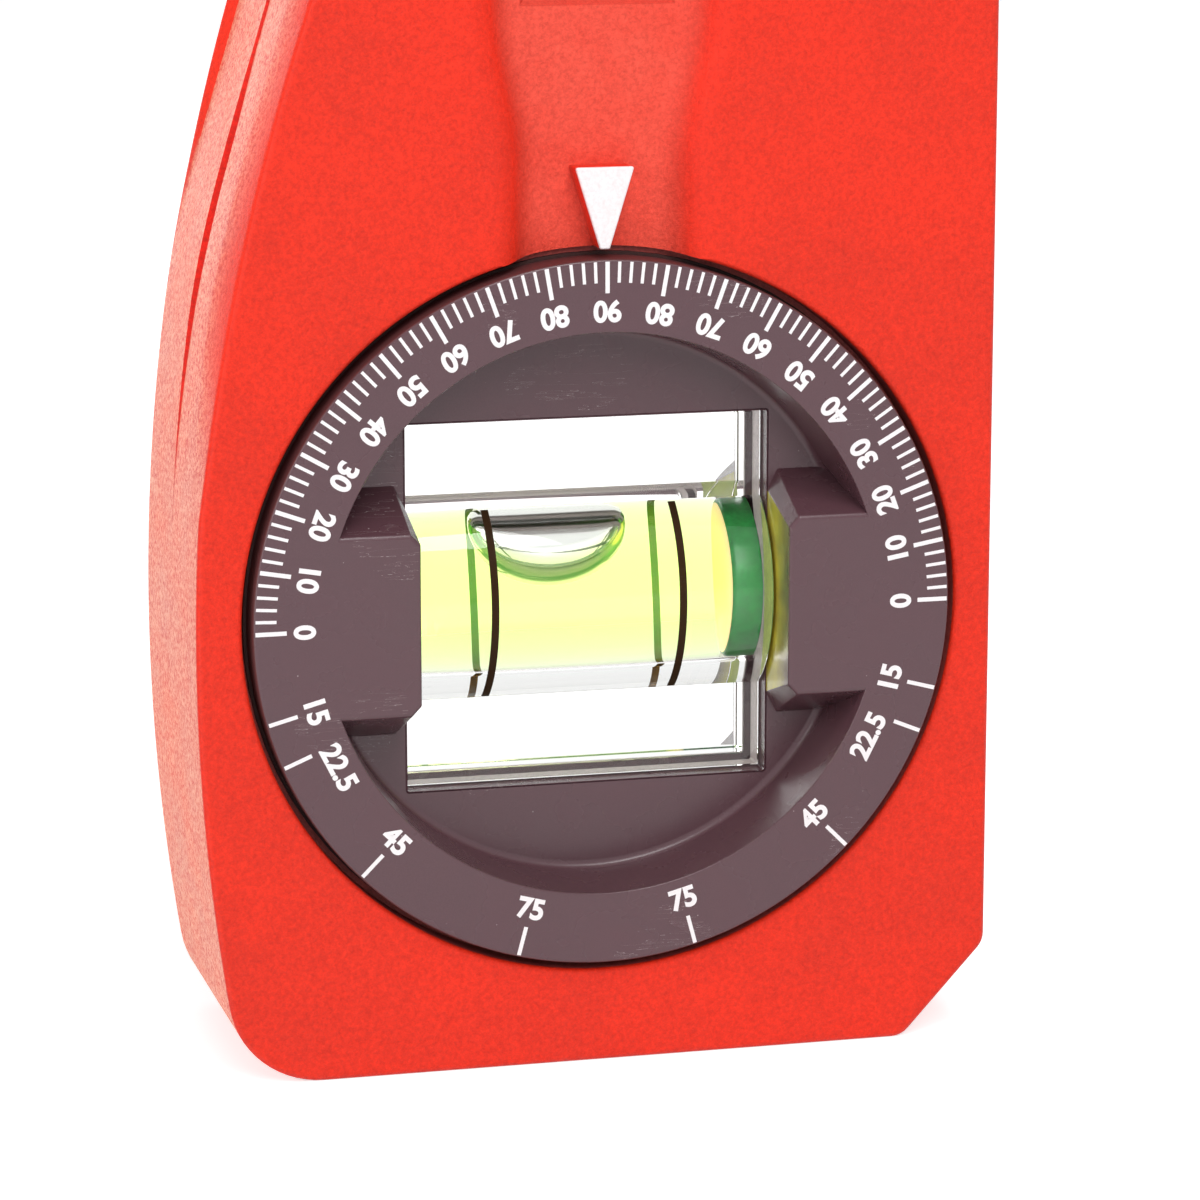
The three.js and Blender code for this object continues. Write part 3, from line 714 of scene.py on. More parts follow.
def new_group(name, inputs, outputs):
    """An empty shader node group of numbers, with its inside input and output nodes."""
    group = bpy.data.node_groups.new(name, "ShaderNodeTree")
    for label, value in inputs.items():
        socket = group.interface.new_socket(name=label, in_out="INPUT", socket_type="NodeSocketFloat")
        socket.default_value = value
    for label in outputs:
        group.interface.new_socket(name=label, in_out="OUTPUT", socket_type="NodeSocketFloat")
    return group, group.nodes.new("NodeGroupInput"), group.nodes.new("NodeGroupOutput")


def put_out(group, outside, values):
    """Links values to the outputs of a group by name."""
    for label, value in values.items():
        group.links.new(value, outside.inputs[label])
    return group


def grain_group():
    """Fine grain of a coat or a moulding: its height, and the light and dark of its points and clouds."""
    group, inside, outside = new_group(
        "Fine grain", {"Grain size": 0.25, "Cloud size": 6.0}, ("Height", "Points", "Clouds"))
    place = coordinate(group, "Object")
    grain = noise(group, place, inside.outputs["Grain size"], *GRAIN_NOISE)
    clouds = noise(group, place, inside.outputs["Cloud size"], *CLOUD_NOISE)
    points = spread(group, grain, *NOISE_SPREAD)
    return put_out(group, outside, {
        "Height": grain, "Points": points, "Clouds": spread(group, clouds, *NOISE_SPREAD)})


def dust_group():
    """Specks of dust and hairline scratches, as masks."""
    group, inside, outside = new_group(
        "Dust and scratches", {"Speck spacing": 1.6, "Speck size": 0.05, "Scratch size": 9.0},
        ("Specks", "Scratches"))
    spacing, size = inside.outputs["Speck spacing"], inside.outputs["Speck size"]
    scratch = inside.outputs["Scratch size"]
    place = coordinate(group, "Object")
    cells = add_node(group, "ShaderNodeTexVoronoi", {"Randomness": 1.0})
    group.links.new(place, cells.inputs["Vector"])
    group.links.new(per_metre(group, spacing), cells.inputs["Scale"])
    reach = math_node(group, "DIVIDE", size, spacing)
    speck = math_node(group, "LESS_THAN", cells.outputs["Distance"], reach)
    colour = add_node(group, "ShaderNodeSeparateColor")
    group.links.new(cells.outputs["Color"], colour.inputs["Color"])
    chosen = math_node(group, "GREATER_THAN", colour.outputs["Red"], BARE_CELLS)
    lines = noise(group, stretched(group, place, SCRATCH_STRETCH, SCRATCH_TURN), scratch, *SCRATCH_NOISE)
    centred = math_node(group, "ABSOLUTE", math_node(group, "SUBTRACT", lines, NOISE_MIDDLE))
    thin = math_node(group, "LESS_THAN", centred, SCRATCH_THINNESS)
    shown = math_node(group, "GREATER_THAN", noise(group, place, scratch, *PATCH_NOISE), BARE_PATCHES)
    return put_out(group, outside, {
        "Specks": math_node(group, "MULTIPLY", speck, chosen),
        "Scratches": math_node(group, "MULTIPLY", thin, shown)})


def metal_group():
    """Fine turning or drawing marks on metal, and the tarnish between them."""
    group, inside, outside = new_group(
        "Worked metal", {"Mark size": 0.08, "Tarnish size": 2.0}, ("Height", "Marks", "Tarnish"))
    place = coordinate(group, "Object")
    marks = noise(group, stretched(group, place, MARK_STRETCH), inside.outputs["Mark size"], *MARK_NOISE)
    tarnish = noise(group, place, inside.outputs["Tarnish size"], *TARNISH_NOISE)
    return put_out(group, outside, {
        "Height": marks, "Marks": spread(group, marks, *NOISE_SPREAD),
        "Tarnish": spread(group, tarnish, *TARNISH_SPREAD)})


EFFECTS = {"Fine grain": grain_group, "Dust and scratches": dust_group, "Worked metal": metal_group}


def effect(tree, name, values):
    """A shared effect placed in a material with its own values; its group is built the first time."""
    group = bpy.data.node_groups.get(name) or EFFECTS[name]()
    node = add_node(tree, "ShaderNodeGroup", node_tree=group)
    set_inputs(node, values)
    return node


def dusty(tree, base, dust, share, sizes):
    """A colour with specks and scratches of another one on it."""
    dirt = effect(tree, "Dust and scratches", sizes)
    marks = math_node(tree, "MAXIMUM", dirt.outputs["Specks"], dirt.outputs["Scratches"])
    return mix_colours(tree, math_node(tree, "MULTIPLY", marks, share), base, dust)


# Finishes


def recessed(tree, surface, base, coat, floor):
    """The coat's colour, a paler and pinker one on the recess floors that is partly a painted highlight for
    their gloss, and painted shade on the steep foot of their walls.
    """
    depth = between_depths(tree, RECESS_TONE_START, BODY_FACE - RECESS_DEPTH)
    patchy = math_node(tree, "MULTIPLY", depth, spread(tree, surface.outputs["Clouds"], *RECESS_PATCHES))
    tones = two_toned(tree, surface.outputs["Points"], floor, RECESS_CONTRAST)
    base = mix_colours(tree, math_node(tree, "MULTIPLY", patchy, RECESS_SHARE), base, tones)
    # painted shade: darker where the recess walls turn steep near their foot
    foot = math_node(tree, "MULTIPLY", levelness(tree, *FOOT_SHADE_TURN), depth)
    return mix_colours(tree, math_node(tree, "MULTIPLY", foot, FOOT_SHADE), base, scaled(coat, FOOT_SHADE_TONE))


def glistening(tree, surface, base, sheen):
    """Painted sheen: the colour's grain points turn paler where a steep side is seen edge on."""
    edge_on = add_node(tree, "ShaderNodeLayerWeight", {"Blend": SHEEN_BLEND})
    steep = math_node(tree, "POWER", edge_on.outputs["Facing"], SHEEN_POWER)
    glisten = math_node(tree, "MULTIPLY", steep, levelness(tree, *SHEEN_TURN))
    glints = spread(tree, surface.outputs["Points"], *SHEEN_POINTS)
    return mix_colours(tree, math_node(tree, "MULTIPLY", glisten, glints), base, sheen)


def grained(name, colour, recess=None, sheen=None, light=None, **own):
    """A coat, ink or moulding with fine grain and clouds of tone. The table of finishes says how it looks,
    and own values stand in for the table's."""
    finish = {"dust": 0.0, "gloss": PLAIN_GLOSS, **FINISHES[name], **own}
    roughness, contrast = finish["roughness"], finish["contrast"]
    material, tree, shader = new_material(name)
    set_inputs(shader, {"Metallic": 0.0, "IOR": RESIN_IOR, "Specular IOR Level": finish["gloss"]})
    surface = effect(tree, "Fine grain", {"Grain size": finish["grain"], "Cloud size": finish["cloud"]})
    fine = two_toned(tree, surface.outputs["Points"], colour, contrast)
    shadow = mix_colours(tree, surface.outputs["Clouds"], (1 - contrast / 2,) * 3, (1, 1, 1))
    base = mix_colours(tree, 1.0, fine, shadow, "MULTIPLY")
    if finish["dust"]:
        base = dusty(tree, base, DUST_COLOUR, finish["dust"], {})
    # painted highlight on the recess floors and painted shade at the foot of their walls
    if recess:
        base = recessed(tree, surface, base, colour, recess)
    # painted sheen in the base colour
    if sheen:
        base = glistening(tree, surface, base, sheen)
    # A painted glow: emission that stands in for light falling on the surface
    if light:
        set_inputs(shader, {"Emission Color": (*light, 1), "Emission Strength": 1.0})
    tree.links.new(base, shader.inputs["Base Color"])
    limits = (roughness - ROUGHNESS_SWING, roughness + ROUGHNESS_SWING)
    uneven_roughness(tree, shader, surface.outputs["Clouds"], *limits)
    bump(tree, shader, surface.outputs["Height"], finish["relief"])
    return material


def lit_wall(name, colour, light):
    """Smooth plastic with the vial's yellow light painted on it, most of all close to the vial."""
    material, tree, shader = new_material(name)
    set_inputs(shader, {"Metallic": 0.0, "IOR": RESIN_IOR, "Roughness": LIT_ROUGHNESS})
    surface = effect(tree, "Fine grain", LIT_GRAIN)
    near = between_depths(tree, DIAL_FACE, BARREL_RADIUS)
    patchy = math_node(tree, "MULTIPLY", near, spread(tree, surface.outputs["Clouds"], *LIT_PATCHES))
    tree.links.new(mix_colours(tree, patchy, colour, light), shader.inputs["Base Color"])
    return material


def worked_metal(name, colour):
    """Steel or plating with fine marks and a little tarnish, as the table of finishes says."""
    finish = FINISHES[name]
    material, tree, shader = new_material(name)
    set_inputs(shader, {"Metallic": 1.0})
    surface = effect(tree, "Worked metal", {"Mark size": finish["mark"]})
    base = mix_colours(tree, surface.outputs["Tarnish"], scaled(colour, TARNISH_TONE), colour)
    tree.links.new(base, shader.inputs["Base Color"])
    limits = (finish["roughness"] - METAL_SWING[0], finish["roughness"] + METAL_SWING[1])
    uneven_roughness(tree, shader, surface.outputs["Marks"], *limits)
    bump(tree, shader, surface.outputs["Height"], finish["relief"])
    return material


def clear(name, tint, ior, dust=0.0, roughness=0.0):
    """Clear plastic or liquid, with a little dust where asked."""
    material, tree, shader = new_material(name)
    set_inputs(shader, {"Transmission Weight": 1.0, "Metallic": 0.0, "IOR": ior, "Roughness": roughness})
    base = dusty(tree, tint, scaled(tint, CLEAR_DUST_TONE), dust, CLEAR_DUST)
    tree.links.new(base, shader.inputs["Base Color"])
    return material


# Settings


def hue(name, description, default):
    """A colour that a user may change."""
    return FloatVectorProperty(
        name=name, description=description, default=default, subtype="COLOR", min=0, max=1)


def amount(low, high, name, description, default, subtype="NONE"):
    """A number that a user may change between two limits."""
    return FloatProperty(
        name=name, description=description, default=default, subtype=subtype, min=low, max=high)


def spot(name, description, default):
    """A place in metres that a user may change."""
    return FloatVectorProperty(
        name=name, description=description, default=default, subtype="TRANSLATION", unit="LENGTH")


class LevelBodySettings(bpy.types.PropertyGroup):
    """Finish of the metal body and its pointers."""

    coat: hue("Coat colour", "Colour of the powder coat", (0.94, 0.030, 0.010))
    # The recess colour is paler and pinker than the coat: partly a painted highlight for the floors' gloss
    recess: hue("Recess colour", "Colour of the coat on the recess floors", (0.97, 0.095, 0.06))
    # Colour of the painted sheen on the coat's steep outer sides
    coat_sheen: hue(
        "Coat sheen", "Colour of the coat's points where it is seen edge on", (1.0, 0.64, 0.42))
    coat_roughness: amount(0.1, 1, "Coat roughness", "How matt the powder coat is", 0.44, "FACTOR")
    coat_grain: amount(0.05, 2, "Coat grain", "Size of the coat's grain in millimetres", 0.30)
    coat_relief: amount(0, 0.2, "Coat relief", "Depth of the coat's grain in millimetres", 0.12)
    # Darker than the coat: painted shade down in the groove
    groove: hue("Groove colour", "Colour of the coat down in the grip side's groove", (0.70, 0.02, 0.01))
    # Darker than the coat: painted shade in the gap behind the dial's edge
    seat: hue("Seat colour", "Colour of the seat behind the dial's edge", (0.50, 0.09, 0.08))
    pointer: hue("Pointer colour", "Colour of the paint on the pointers", (0.92, 0.84, 0.85))


class LevelDialSettings(bpy.types.PropertyGroup):
    """Finish of the dial and its print."""

    plastic: hue("Dial colour", "Colour of the dial's plastic", (0.094, 0.042, 0.052))
    # Colour of the vial's light, painted on the walls beside it
    wall_light: hue(
        "Wall light", "Colour that the vial throws on the walls beside it", (0.62, 0.52, 0.06))
    # Darker and redder than the plastic: painted shade of the rim in the gap round the dial
    rim: hue("Rim colour", "Colour of the dial's outer rim", (0.072, 0.017, 0.018))
    ink: hue("Print colour", "Colour of the printed marks", (0.90, 0.86, 0.87))
    minor_width: amount(0.05, 1, "Minor mark", "Width of a minor mark in millimetres", 0.20)
    major_width: amount(0.05, 1, "Major mark", "Width of a major mark in millimetres", 0.27)
    lower_width: amount(0.05, 1, "Lower mark", "Width of a lower mark in millimetres", 0.25)
    number_height: amount(0.5, 4, "Number height", "Height of the numbers in millimetres", 1.42)
    number_squeeze: amount(
        0.4, 1.2, "Number width", "Width of the numbers against plain ones", 0.98, "FACTOR")
    number_weight: amount(
        0, 0.1, "Number weight", "How much bolder the numbers are, as a share of their font size", 0.036,
        "FACTOR")


class LevelVialSettings(bpy.types.PropertyGroup):
    """Finish of the vial, its liquid and its lines."""

    acrylic: hue("Acrylic colour", "Tint of the clear block", (0.99, 1.0, 0.99))
    liquid: hue("Liquid colour", "Colour that the liquid's dye lets through", (0.93, 0.92, 0.04))
    density: amount(
        0, 1000, "Liquid density", "How fast the liquid colours with depth, per metre", 150)
    # The dye's glow is emission: a painted glow standing in for its fluorescence under light
    glow: hue("Glow colour", "Colour of the dye's own glow", (0.24, 1.0, 0.11))
    glow_strength: amount(0, 500, "Glow", "Strength of the dye's own glow, per metre", 50)
    plug: hue("Plug colour", "Colour of the plug", (0.025, 0.36, 0.07))
    # The plug end's pale colour and its glow are painted light from the liquid
    plug_end: hue("Plug end colour", "Colour of the plug's inner end", (1.0, 1.0, 0.85))
    plug_light: hue(
        "Plug end light", "Light that the liquid throws on the plug's inner end", (0.55, 0.20, 0.10))
    line: hue("Line colour", "Colour of the lines round the barrel", (0.030, 0.012, 0.002))
    rear_line: hue("Rear line colour", "Colour of the thinner ink of the rear lines", (0.13, 0.05, 0.002))
    bond: hue("Bond colour", "Colour of the bonded sides of the block", (0.45, 0.36, 0.38))
    # A painted glow on the bonded sides, standing in for light passed on from the window
    bond_light: hue(
        "Bond light", "Light that the bonded sides pass on from the window", (0.14, 0.12, 0.12))
    # The barrel's bonded end, its pale yellow partly painted light from the vial
    bond_end: hue("Bonded end colour", "Colour of the barrel's bonded end", (0.80, 0.80, 0.30))
    acrylic_ior: amount(1, 2, "Acrylic IOR", "Refraction of the clear block", 1.49)
    liquid_ior: amount(1, 2, "Liquid IOR", "Refraction of the liquid", 1.42)


class LevelSmallSettings(bpy.types.PropertyGroup):
    """Finish of the small fittings."""

    rubber: hue("Ring colour", "Colour of the friction rings", (0.040, 0.015, 0.014))
    steel: hue("Steel colour", "Colour of the screws and cups", (0.52, 0.53, 0.55))
    plating: hue("Plating colour", "Colour of the magnets' plating", (0.68, 0.69, 0.70))


class LevelStageSettings(bpy.types.PropertyGroup):
    """Camera, lamps and floor."""

    lens: amount(20, 400, "Lens", "Focal length in millimetres", 141, "DISTANCE_CAMERA")
    camera_place: spot("Camera place", "Where the camera stands", (-0.07194, -0.28752, 0.08966))
    camera_aim: spot("Camera aim", "The point that the camera looks at", (-0.00028, -0.01010, 0.03007))
    fill: amount(0, 4, "Surrounding light", "Brightness of the light from all round", 0.34)
    key: amount(0, 50, "Key lamp", "Power of the soft lamp in front", 1.7, "POWER")
    top: amount(
        0, 50, "Top lamp", "Power of the soft lamp overhead, which gives the barrel its bright band", 1.0,
        "POWER")
    side: amount(0, 50, "Side lamp", "Power of the soft lamp at the grip side", 1.0, "POWER")
    back: amount(
        0, 50, "Back lamp", "Power of the soft lamp behind, which brushes the grip side", 0.7, "POWER")
    floor: hue("Floor colour", "Colour of the floor", (0.80, 0.80, 0.80))


SETTINGS = {
    "level_body": LevelBodySettings,
    "level_dial": LevelDialSettings,
    "level_vial": LevelVialSettings,
    "level_small": LevelSmallSettings,
    "level_stage": LevelStageSettings,
}


# Body


def grip_x(z):
    """Where the grip side's arc lies at a height."""
    return GRIP_CENTRE[0] - math.sqrt(GRIP_RADIUS ** 2 - (z - GRIP_CENTRE[1]) ** 2)


def bevel_inset(z):
    """How far the front bevel cuts in at a height: it opens from a point and ends along a straight line."""
    if z <= BEVEL_TIP or z >= BEVEL_TOP:
        return 0
    opening = BEVEL_WIDTH * ((z - BEVEL_TIP) / (BEVEL_MIDDLE - BEVEL_TIP)) ** BEVEL_OPENING
    share = (z - BEVEL_START) / (BEVEL_TOP - BEVEL_START)
    straight = blend(grip_x(BEVEL_START), grip_x(BEVEL_TOP), share) - grip_x(z)
    return opening if z < BEVEL_MIDDLE else min(opening, straight)


def relief_inset(z):
    """How far the middle of the grip side lies in from its rear edge at a height."""
    fade = rise(BEVEL_TOP - z, 0, RELIEF_TOP_MARGIN - BEVEL_TOP_MARGIN)
    return RELIEF * rise(z, RELIEF_START, RELIEF_FULL) * fade


def groove_inset(z):
    """How deep the groove along the grip side is at a height."""
    start = rise(z, GROOVE_START, GROOVE_MIDDLE)
    swell = start * rise(GROOVE_FADE - z, 0, GROOVE_FADE - GROOVE_MIDDLE)
    hairline = start * rise(BEVEL_TOP - z, 0, BEVEL_TOP_MARGIN)
    return max(GROOVE_DEPTH * swell, GROOVE_HAIRLINE * hairline)


def body_outline():
    """The body's outline as the front shows it, with the grip side on the left."""
    def fillet(radius, z):
        reach = GRIP_RADIUS - radius
        return np.array([GRIP_CENTRE[0] - math.sqrt(reach ** 2 - (GRIP_CENTRE[1] - z) ** 2), z])

    def angle(centre):
        return math.atan2(*(centre - GRIP_CENTRE)[::-1]) % (2 * math.pi)

    bottom = fillet(BOTTOM_CORNER_RADIUS, BOTTOM_CORNER_RADIUS)
    top = fillet(TOP_CORNER_RADIUS, BODY_LENGTH - TOP_CORNER_RADIUS)
    corners = [
        (bottom[0], 0),
        (BODY_HALF_WIDTH - CHAMFER_WIDTH, 0),
        (BODY_HALF_WIDTH, CHAMFER_HEIGHT),
        (BODY_HALF_WIDTH, BODY_LENGTH - CHAMFER_HEIGHT),
        (BODY_HALF_WIDTH - CHAMFER_WIDTH, BODY_LENGTH),
        (top[0], BODY_LENGTH),
    ]
    chamfers = [rounded_corner(*three, CHAMFER_ROUND) for three in zip(corners, corners[1:], corners[2:])]
    return np.concatenate([
        *chamfers,
        arc(top, TOP_CORNER_RADIUS, math.pi / 2, angle(top), CORNER_STEPS),
        arc(GRIP_CENTRE, GRIP_RADIUS, angle(top), angle(bottom), GRIP_STEPS)[1:-1],
        arc(bottom, BOTTOM_CORNER_RADIUS, angle(bottom), 3 * math.pi / 2, CORNER_STEPS),
    ])


def body_ring(outline, y, drawn_in, inset):
    """One outline of the body at a depth, its edge drawn in by a rounding, its grip side by an inset."""
    ring = ring_at(outline, -drawn_in, y)
    for point, (x, z) in zip(ring, outline):
        if x <= grip_x(z) + OVERRUN:
            point[0] += inset(z)
    return ring


def body_blank():
    """The body before its seat, recesses and grooves are cut."""
    outline = body_outline()

    def front_inset(sink):
        return lambda z: blend(max(bevel_inset(z), relief_inset(z)), relief_inset(z), sink / BEVEL_DEPTH)

    def rear_inset(sink):
        return lambda z: relief_inset(z) * (sink / FLARE_DEPTH)

    def grooved(z):
        return relief_inset(z) + groove_inset(z)

    rounding = edge_rounding(BODY_EDGE)
    front = [(-BODY_FACE + sink, drawn, front_inset(sink)) for drawn, sink in rounding]
    rear = [(BODY_FACE - sink, drawn, rear_inset(sink)) for drawn, sink in rounding]
    middle = [
        (-BODY_FACE + BEVEL_DEPTH, 0, relief_inset), (-GROOVE_RUN, 0, relief_inset), (0, 0, grooved),
        (GROOVE_WALL, 0, relief_inset), (BODY_FACE - FLARE_DEPTH, 0, relief_inset),
    ]
    return loft([body_ring(outline, *level) for level in (*front, *middle, *rear[::-1])])


def seat_cut():
    """The dial's seat: a bore through the body, wider at both faces, with rounded rims."""
    centre = (SEAT_RADIUS + SEAT_EDGE, BODY_FACE - SEAT_EDGE)
    rim = arc(centre, SEAT_EDGE, math.pi, math.pi / 2, EDGE_STEPS)
    half = [(BORE_RADIUS, SEAT_FACE), (SEAT_RADIUS, SEAT_FACE), *rim, (centre[0], BODY_FACE + OVERRUN)]
    other = [(radius, -y) for radius, y in half][::-1]
    end = BODY_FACE + OVERRUN
    return moved(lathe([(0, -end), *other, *half, (0, end)], ROUND_SIDES), DIAL_CENTRE)


def recess_half(height):
    """Half the width of the recess floor at a height above the dial's seat."""
    return blend(RECESS_NARROW_HALF, RECESS_WIDE_HALF, rise(height, RECESS_FLARE_START, RECESS_FLARE_END))


def recess_outline(start, outset):
    """The recess floor's outline from a height above the seat to its rounded top, moved out by an outset."""
    radius, top = RECESS_CORNER_RADIUS + outset, RECESS_TOP + outset
    heights = np.linspace(start, top - radius, RECESS_STEPS + 1)
    straight = [(recess_half(height) + outset, height) for height in heights]
    centre = (recess_half(RECESS_TOP) + outset - radius, top - radius)
    right = np.concatenate([straight, arc(centre, radius, 0, math.pi / 2, CORNER_STEPS)[1:]])
    left = right[::-1] * (-1, 1)
    return np.concatenate([right, left]) + (DIAL_CENTRE[0], SEAT_TOP)


def recess_cuts():
    """The recess at the front face: a sloping wall, round at its foot and its rim, and a deeper step."""
    wall = [
        (-OVERRUN, RECESS_DEPTH), (0, RECESS_DEPTH), (RECESS_WALL_RUN, 0), (RECESS_WALL_RUN + OVERRUN, 0),
    ]
    foot = rounded_corner(*wall[:3], RECESS_ROUND, RECESS_ROUND_STEPS)
    rim = rounded_corner(*wall[1:], RECESS_ROUND, RECESS_ROUND_STEPS)
    profile = [*foot, *rim, (rim[-1][0], -OVERRUN)]
    flat = foot[0][0] - RECESS_STEP_LEDGE
    run = RECESS_WALL_RUN / RECESS_DEPTH * RECESS_STEP_DEPTH
    start = RECESS_TOP * RECESS_STEP_SHARE
    step = [
        (start, flat, RECESS_DEPTH / 2), (start, flat, RECESS_DEPTH),
        (start + run, flat - run, RECESS_DEPTH + RECESS_STEP_DEPTH),
    ]
    return [
        loft([ring_at(recess_outline(-RECESS_OVERLAP, out), 0, -BODY_FACE + sink) for out, sink in profile]),
        loft([ring_at(recess_outline(low, out), 0, -BODY_FACE + sink) for low, out, sink in step]),
    ]


def base_groove_cut():
    """The V groove along the measuring base."""
    half = BASE_GROOVE_WIDTH / 2
    mouth = half + OVERRUN * half / BASE_GROOVE_DEPTH
    low, high = -OVERRUN, BODY_LENGTH + OVERRUN
    outside, bottom = BODY_HALF_WIDTH + OVERRUN, BODY_HALF_WIDTH - BASE_GROOVE_DEPTH
    section = [(outside, -mouth), (outside, mouth), (bottom, 0)]
    points = [(x, y, z) for z in (low, high) for x, y in section]
    return solid(points, [[0, 1, 2], [3, 4, 5], [0, 1, 4, 3], [1, 2, 5, 4], [2, 0, 3, 5]])


def cup_boxes():
    """The lowest and highest corner of each magnet's cup, from the frame."""
    return [node_box(name) for name in sorted(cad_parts) if name.startswith("magnet_cup")]


def magnet_pockets():
    """The round pockets for the magnets' cups."""
    pockets, end = [], BODY_HALF_WIDTH + OVERRUN
    for low, high in cup_boxes():
        radius = (high[2] - low[2]) / 2 + CUP_GAP
        pocket = lathe([(0, low[0]), (radius, low[0]), (radius, end), (0, end)], axis="X")
        pockets.append(moved(pocket, (0, 0, (low[2] + high[2]) / 2)))
    return gathered(pockets)


def build_body():
    """The metal body with its seat, recesses, pedestals, magnet pockets and base groove."""
    recesses = [*recess_cuts(), *(mirrored(tool) for tool in recess_cuts())]
    body = joined(cut(body_blank(), seat_cut(), *recesses), build_pedestal(), mirrored(build_pedestal()))
    body = cut(body, magnet_pockets(), base_groove_cut())
    # Faces of the seat and of the grip side's groove get painted shade, outer faces the coat with painted
    # sheen
    for face in body.data.polygons:
        x, y, z = face.center
        off_centre = math.hypot(x - DIAL_CENTRE[0], z - DIAL_CENTRE[2])
        in_seat = off_centre < SEAT_RADIUS + MARK_REACH and abs(y) < BODY_FACE - SEAT_EDGE
        at_grip = x < grip_x(z) + OUTSIDE_REACH
        at_end = min(z, BODY_LENGTH - z) < CHAMFER_HEIGHT
        at_side = at_grip or x > BODY_HALF_WIDTH - OUTSIDE_REACH
        in_groove = at_grip and 0 < y < GROOVE_WALL and z > GROOVE_START
        outer = (at_end or at_side) and abs(face.normal.y) < OUTSIDE_TURN
        face.material_index = WELL_SHADE if in_seat else GROOVE_SHADE if in_groove else OUTSIDE if outer else COAT
    return body


def pointer_outline():
    """The pointer's outline above the dial, its tip at the seat's edge."""
    x = DIAL_CENTRE[0]
    corners = [
        (x + POINTER_TIP_HALF, SEAT_TOP), (x + POINTER_HALF_WIDTH, SEAT_TOP + POINTER_HEIGHT),
        (x - POINTER_HALF_WIDTH, SEAT_TOP + POINTER_HEIGHT), (x - POINTER_TIP_HALF, SEAT_TOP),
    ]
    return rounded_outline(corners, POINTER_EDGE)


def build_pedestal():
    """The cast triangle on the recess floor that carries the pointer."""
    outline = pointer_outline()
    back = -BODY_FACE + RECESS_DEPTH + OVERRUN
    return loft([ring_at(outline, 0, POINTER_BACK), ring_at(outline, 0, back)])


def build_pointer():
    """The pointer on its pedestal, its front edges rounded."""
    outline = pointer_outline()
    top = POINTER_BACK - POINTER_THICKNESS
    rings = [ring_at(outline, -drawn, top + sink) for drawn, sink in edge_rounding(POINTER_EDGE)]
    return loft([*rings, ring_at(outline, 0, POINTER_BACK)])


# Dial


def dial_blank():
    """One half of the dial at the rear face, from the middle of the body to the printed ring."""
    rim = (PRINTED_INNER, DIAL_FACE)
    foot = (PRINTED_INNER - DISH_WALL_RUN, FLOOR_FACE)
    profile = [
        (0, FLOOR_FACE),
        *rounded_corner((0, FLOOR_FACE), foot, rim, DISH_FOOT_RADIUS, CORNER_STEPS),
        *rounded_corner(foot, rim, (DIAL_RADIUS, DIAL_FACE), PRINTED_RING_ROUND),
        *rounded_corner(rim, (DIAL_RADIUS, DIAL_FACE), (DIAL_RADIUS, FLANGE_BACK), DIAL_EDGE),
        (DIAL_RADIUS, FLANGE_BACK), (HUB_RADIUS, FLANGE_BACK), (HUB_RADIUS, 0), (0, 0),
    ]
    return lathe(profile, ROUND_SIDES)


def lug_shape(side):
    """One lug: flush with the printed ring, spreading down to the dish floor, with cut inner corners."""
    outer = PRINTED_INNER + OVERRUN

    def section(half_height, corner, run):
        right = [
            (LUG_INNER, -half_height + corner), (LUG_INNER + run, -half_height), (outer, -half_height),
            (outer, half_height), (LUG_INNER + run, half_height), (LUG_INNER, half_height - corner),
        ]
        return rounded_outline(right, LUG_ROUND)

    foot = section(LUG_HALF_HEIGHT + LUG_FOOT_SPREAD, LUG_CORNER + LUG_CORNER_SPREAD, LUG_CORNER)
    head = section(LUG_HALF_HEIGHT, LUG_CORNER, LUG_CORNER)
    rings = [ring_at(foot, 0, FLOOR_FACE / 2), ring_at(foot, 0, FLOOR_FACE)]
    for drawn, sink in edge_rounding(LUG_ROUND)[::-1]:
        level = blend(foot, head, 1 - sink / DISH_DEPTH)
        rings.append(ring_at(level, -drawn, DIAL_FACE - LUG_SINK - sink))
    for ring in rings:
        ring[:, 0] *= side
    return loft(rings)


def screw_places():
    """The screws' places on the dish floor, a wall away from the pocket for the vial's rim."""
    z = POCKET_HALF + SCREW_WALL + HOLE_RADIUS
    return [(side * SCREW_SPREAD, 0, up * z) for side, up in ((-1, -1), (1, -1), (1, 1), (-1, 1))]


def dial_half():
    """One dial half at the rear face, its axis at the origin."""
    reach = DIAL_FACE + OVERRUN
    outline = rounded_outline(square(WINDOW_HALF), WINDOW_ROUND)
    lip = [
        ring_at(outline, WINDOW_ROUND - sink, FLOOR_FACE - drawn)
        for drawn, sink in edge_rounding(WINDOW_ROUND)
    ][::-1]
    window = loft([ring_at(outline, 0, -OVERRUN), *lip, ring_at(lip[-1][:, [0, 2]], 0, reach)])
    depth = RIM_THICKNESS / 2 + RIM_GAP
    pocket = box((-POCKET_HALF, -OVERRUN, -POCKET_HALF), (POCKET_HALF, depth, POCKET_HALF))
    return cut(joined(cut(dial_blank(), window), lug_shape(1), lug_shape(-1)), pocket)


def mark_finishes(half):
    """The same dial half, its walls beside the vial marked for painted vial light and its outer rim for
    painted shade.
    """
    for face in half.data.polygons:
        x, y, z = face.center
        beside = LUG_INNER - MARK_REACH < abs(x) < LUG_INNER + LUG_CORNER and abs(z) < LUG_HALF_HEIGHT
        lit = beside and x * face.normal.x < 0 and FLOOR_FACE < abs(y) < DIAL_FACE - LUG_ROUND
        outer = math.hypot(x, z) > DIAL_RADIUS - DIAL_EDGE and abs(face.normal.y) < RIM_TURN
        face.material_index = VIAL_LIGHT_PAINTED if lit else RIM_SHADE if outer else PLASTIC
    return half


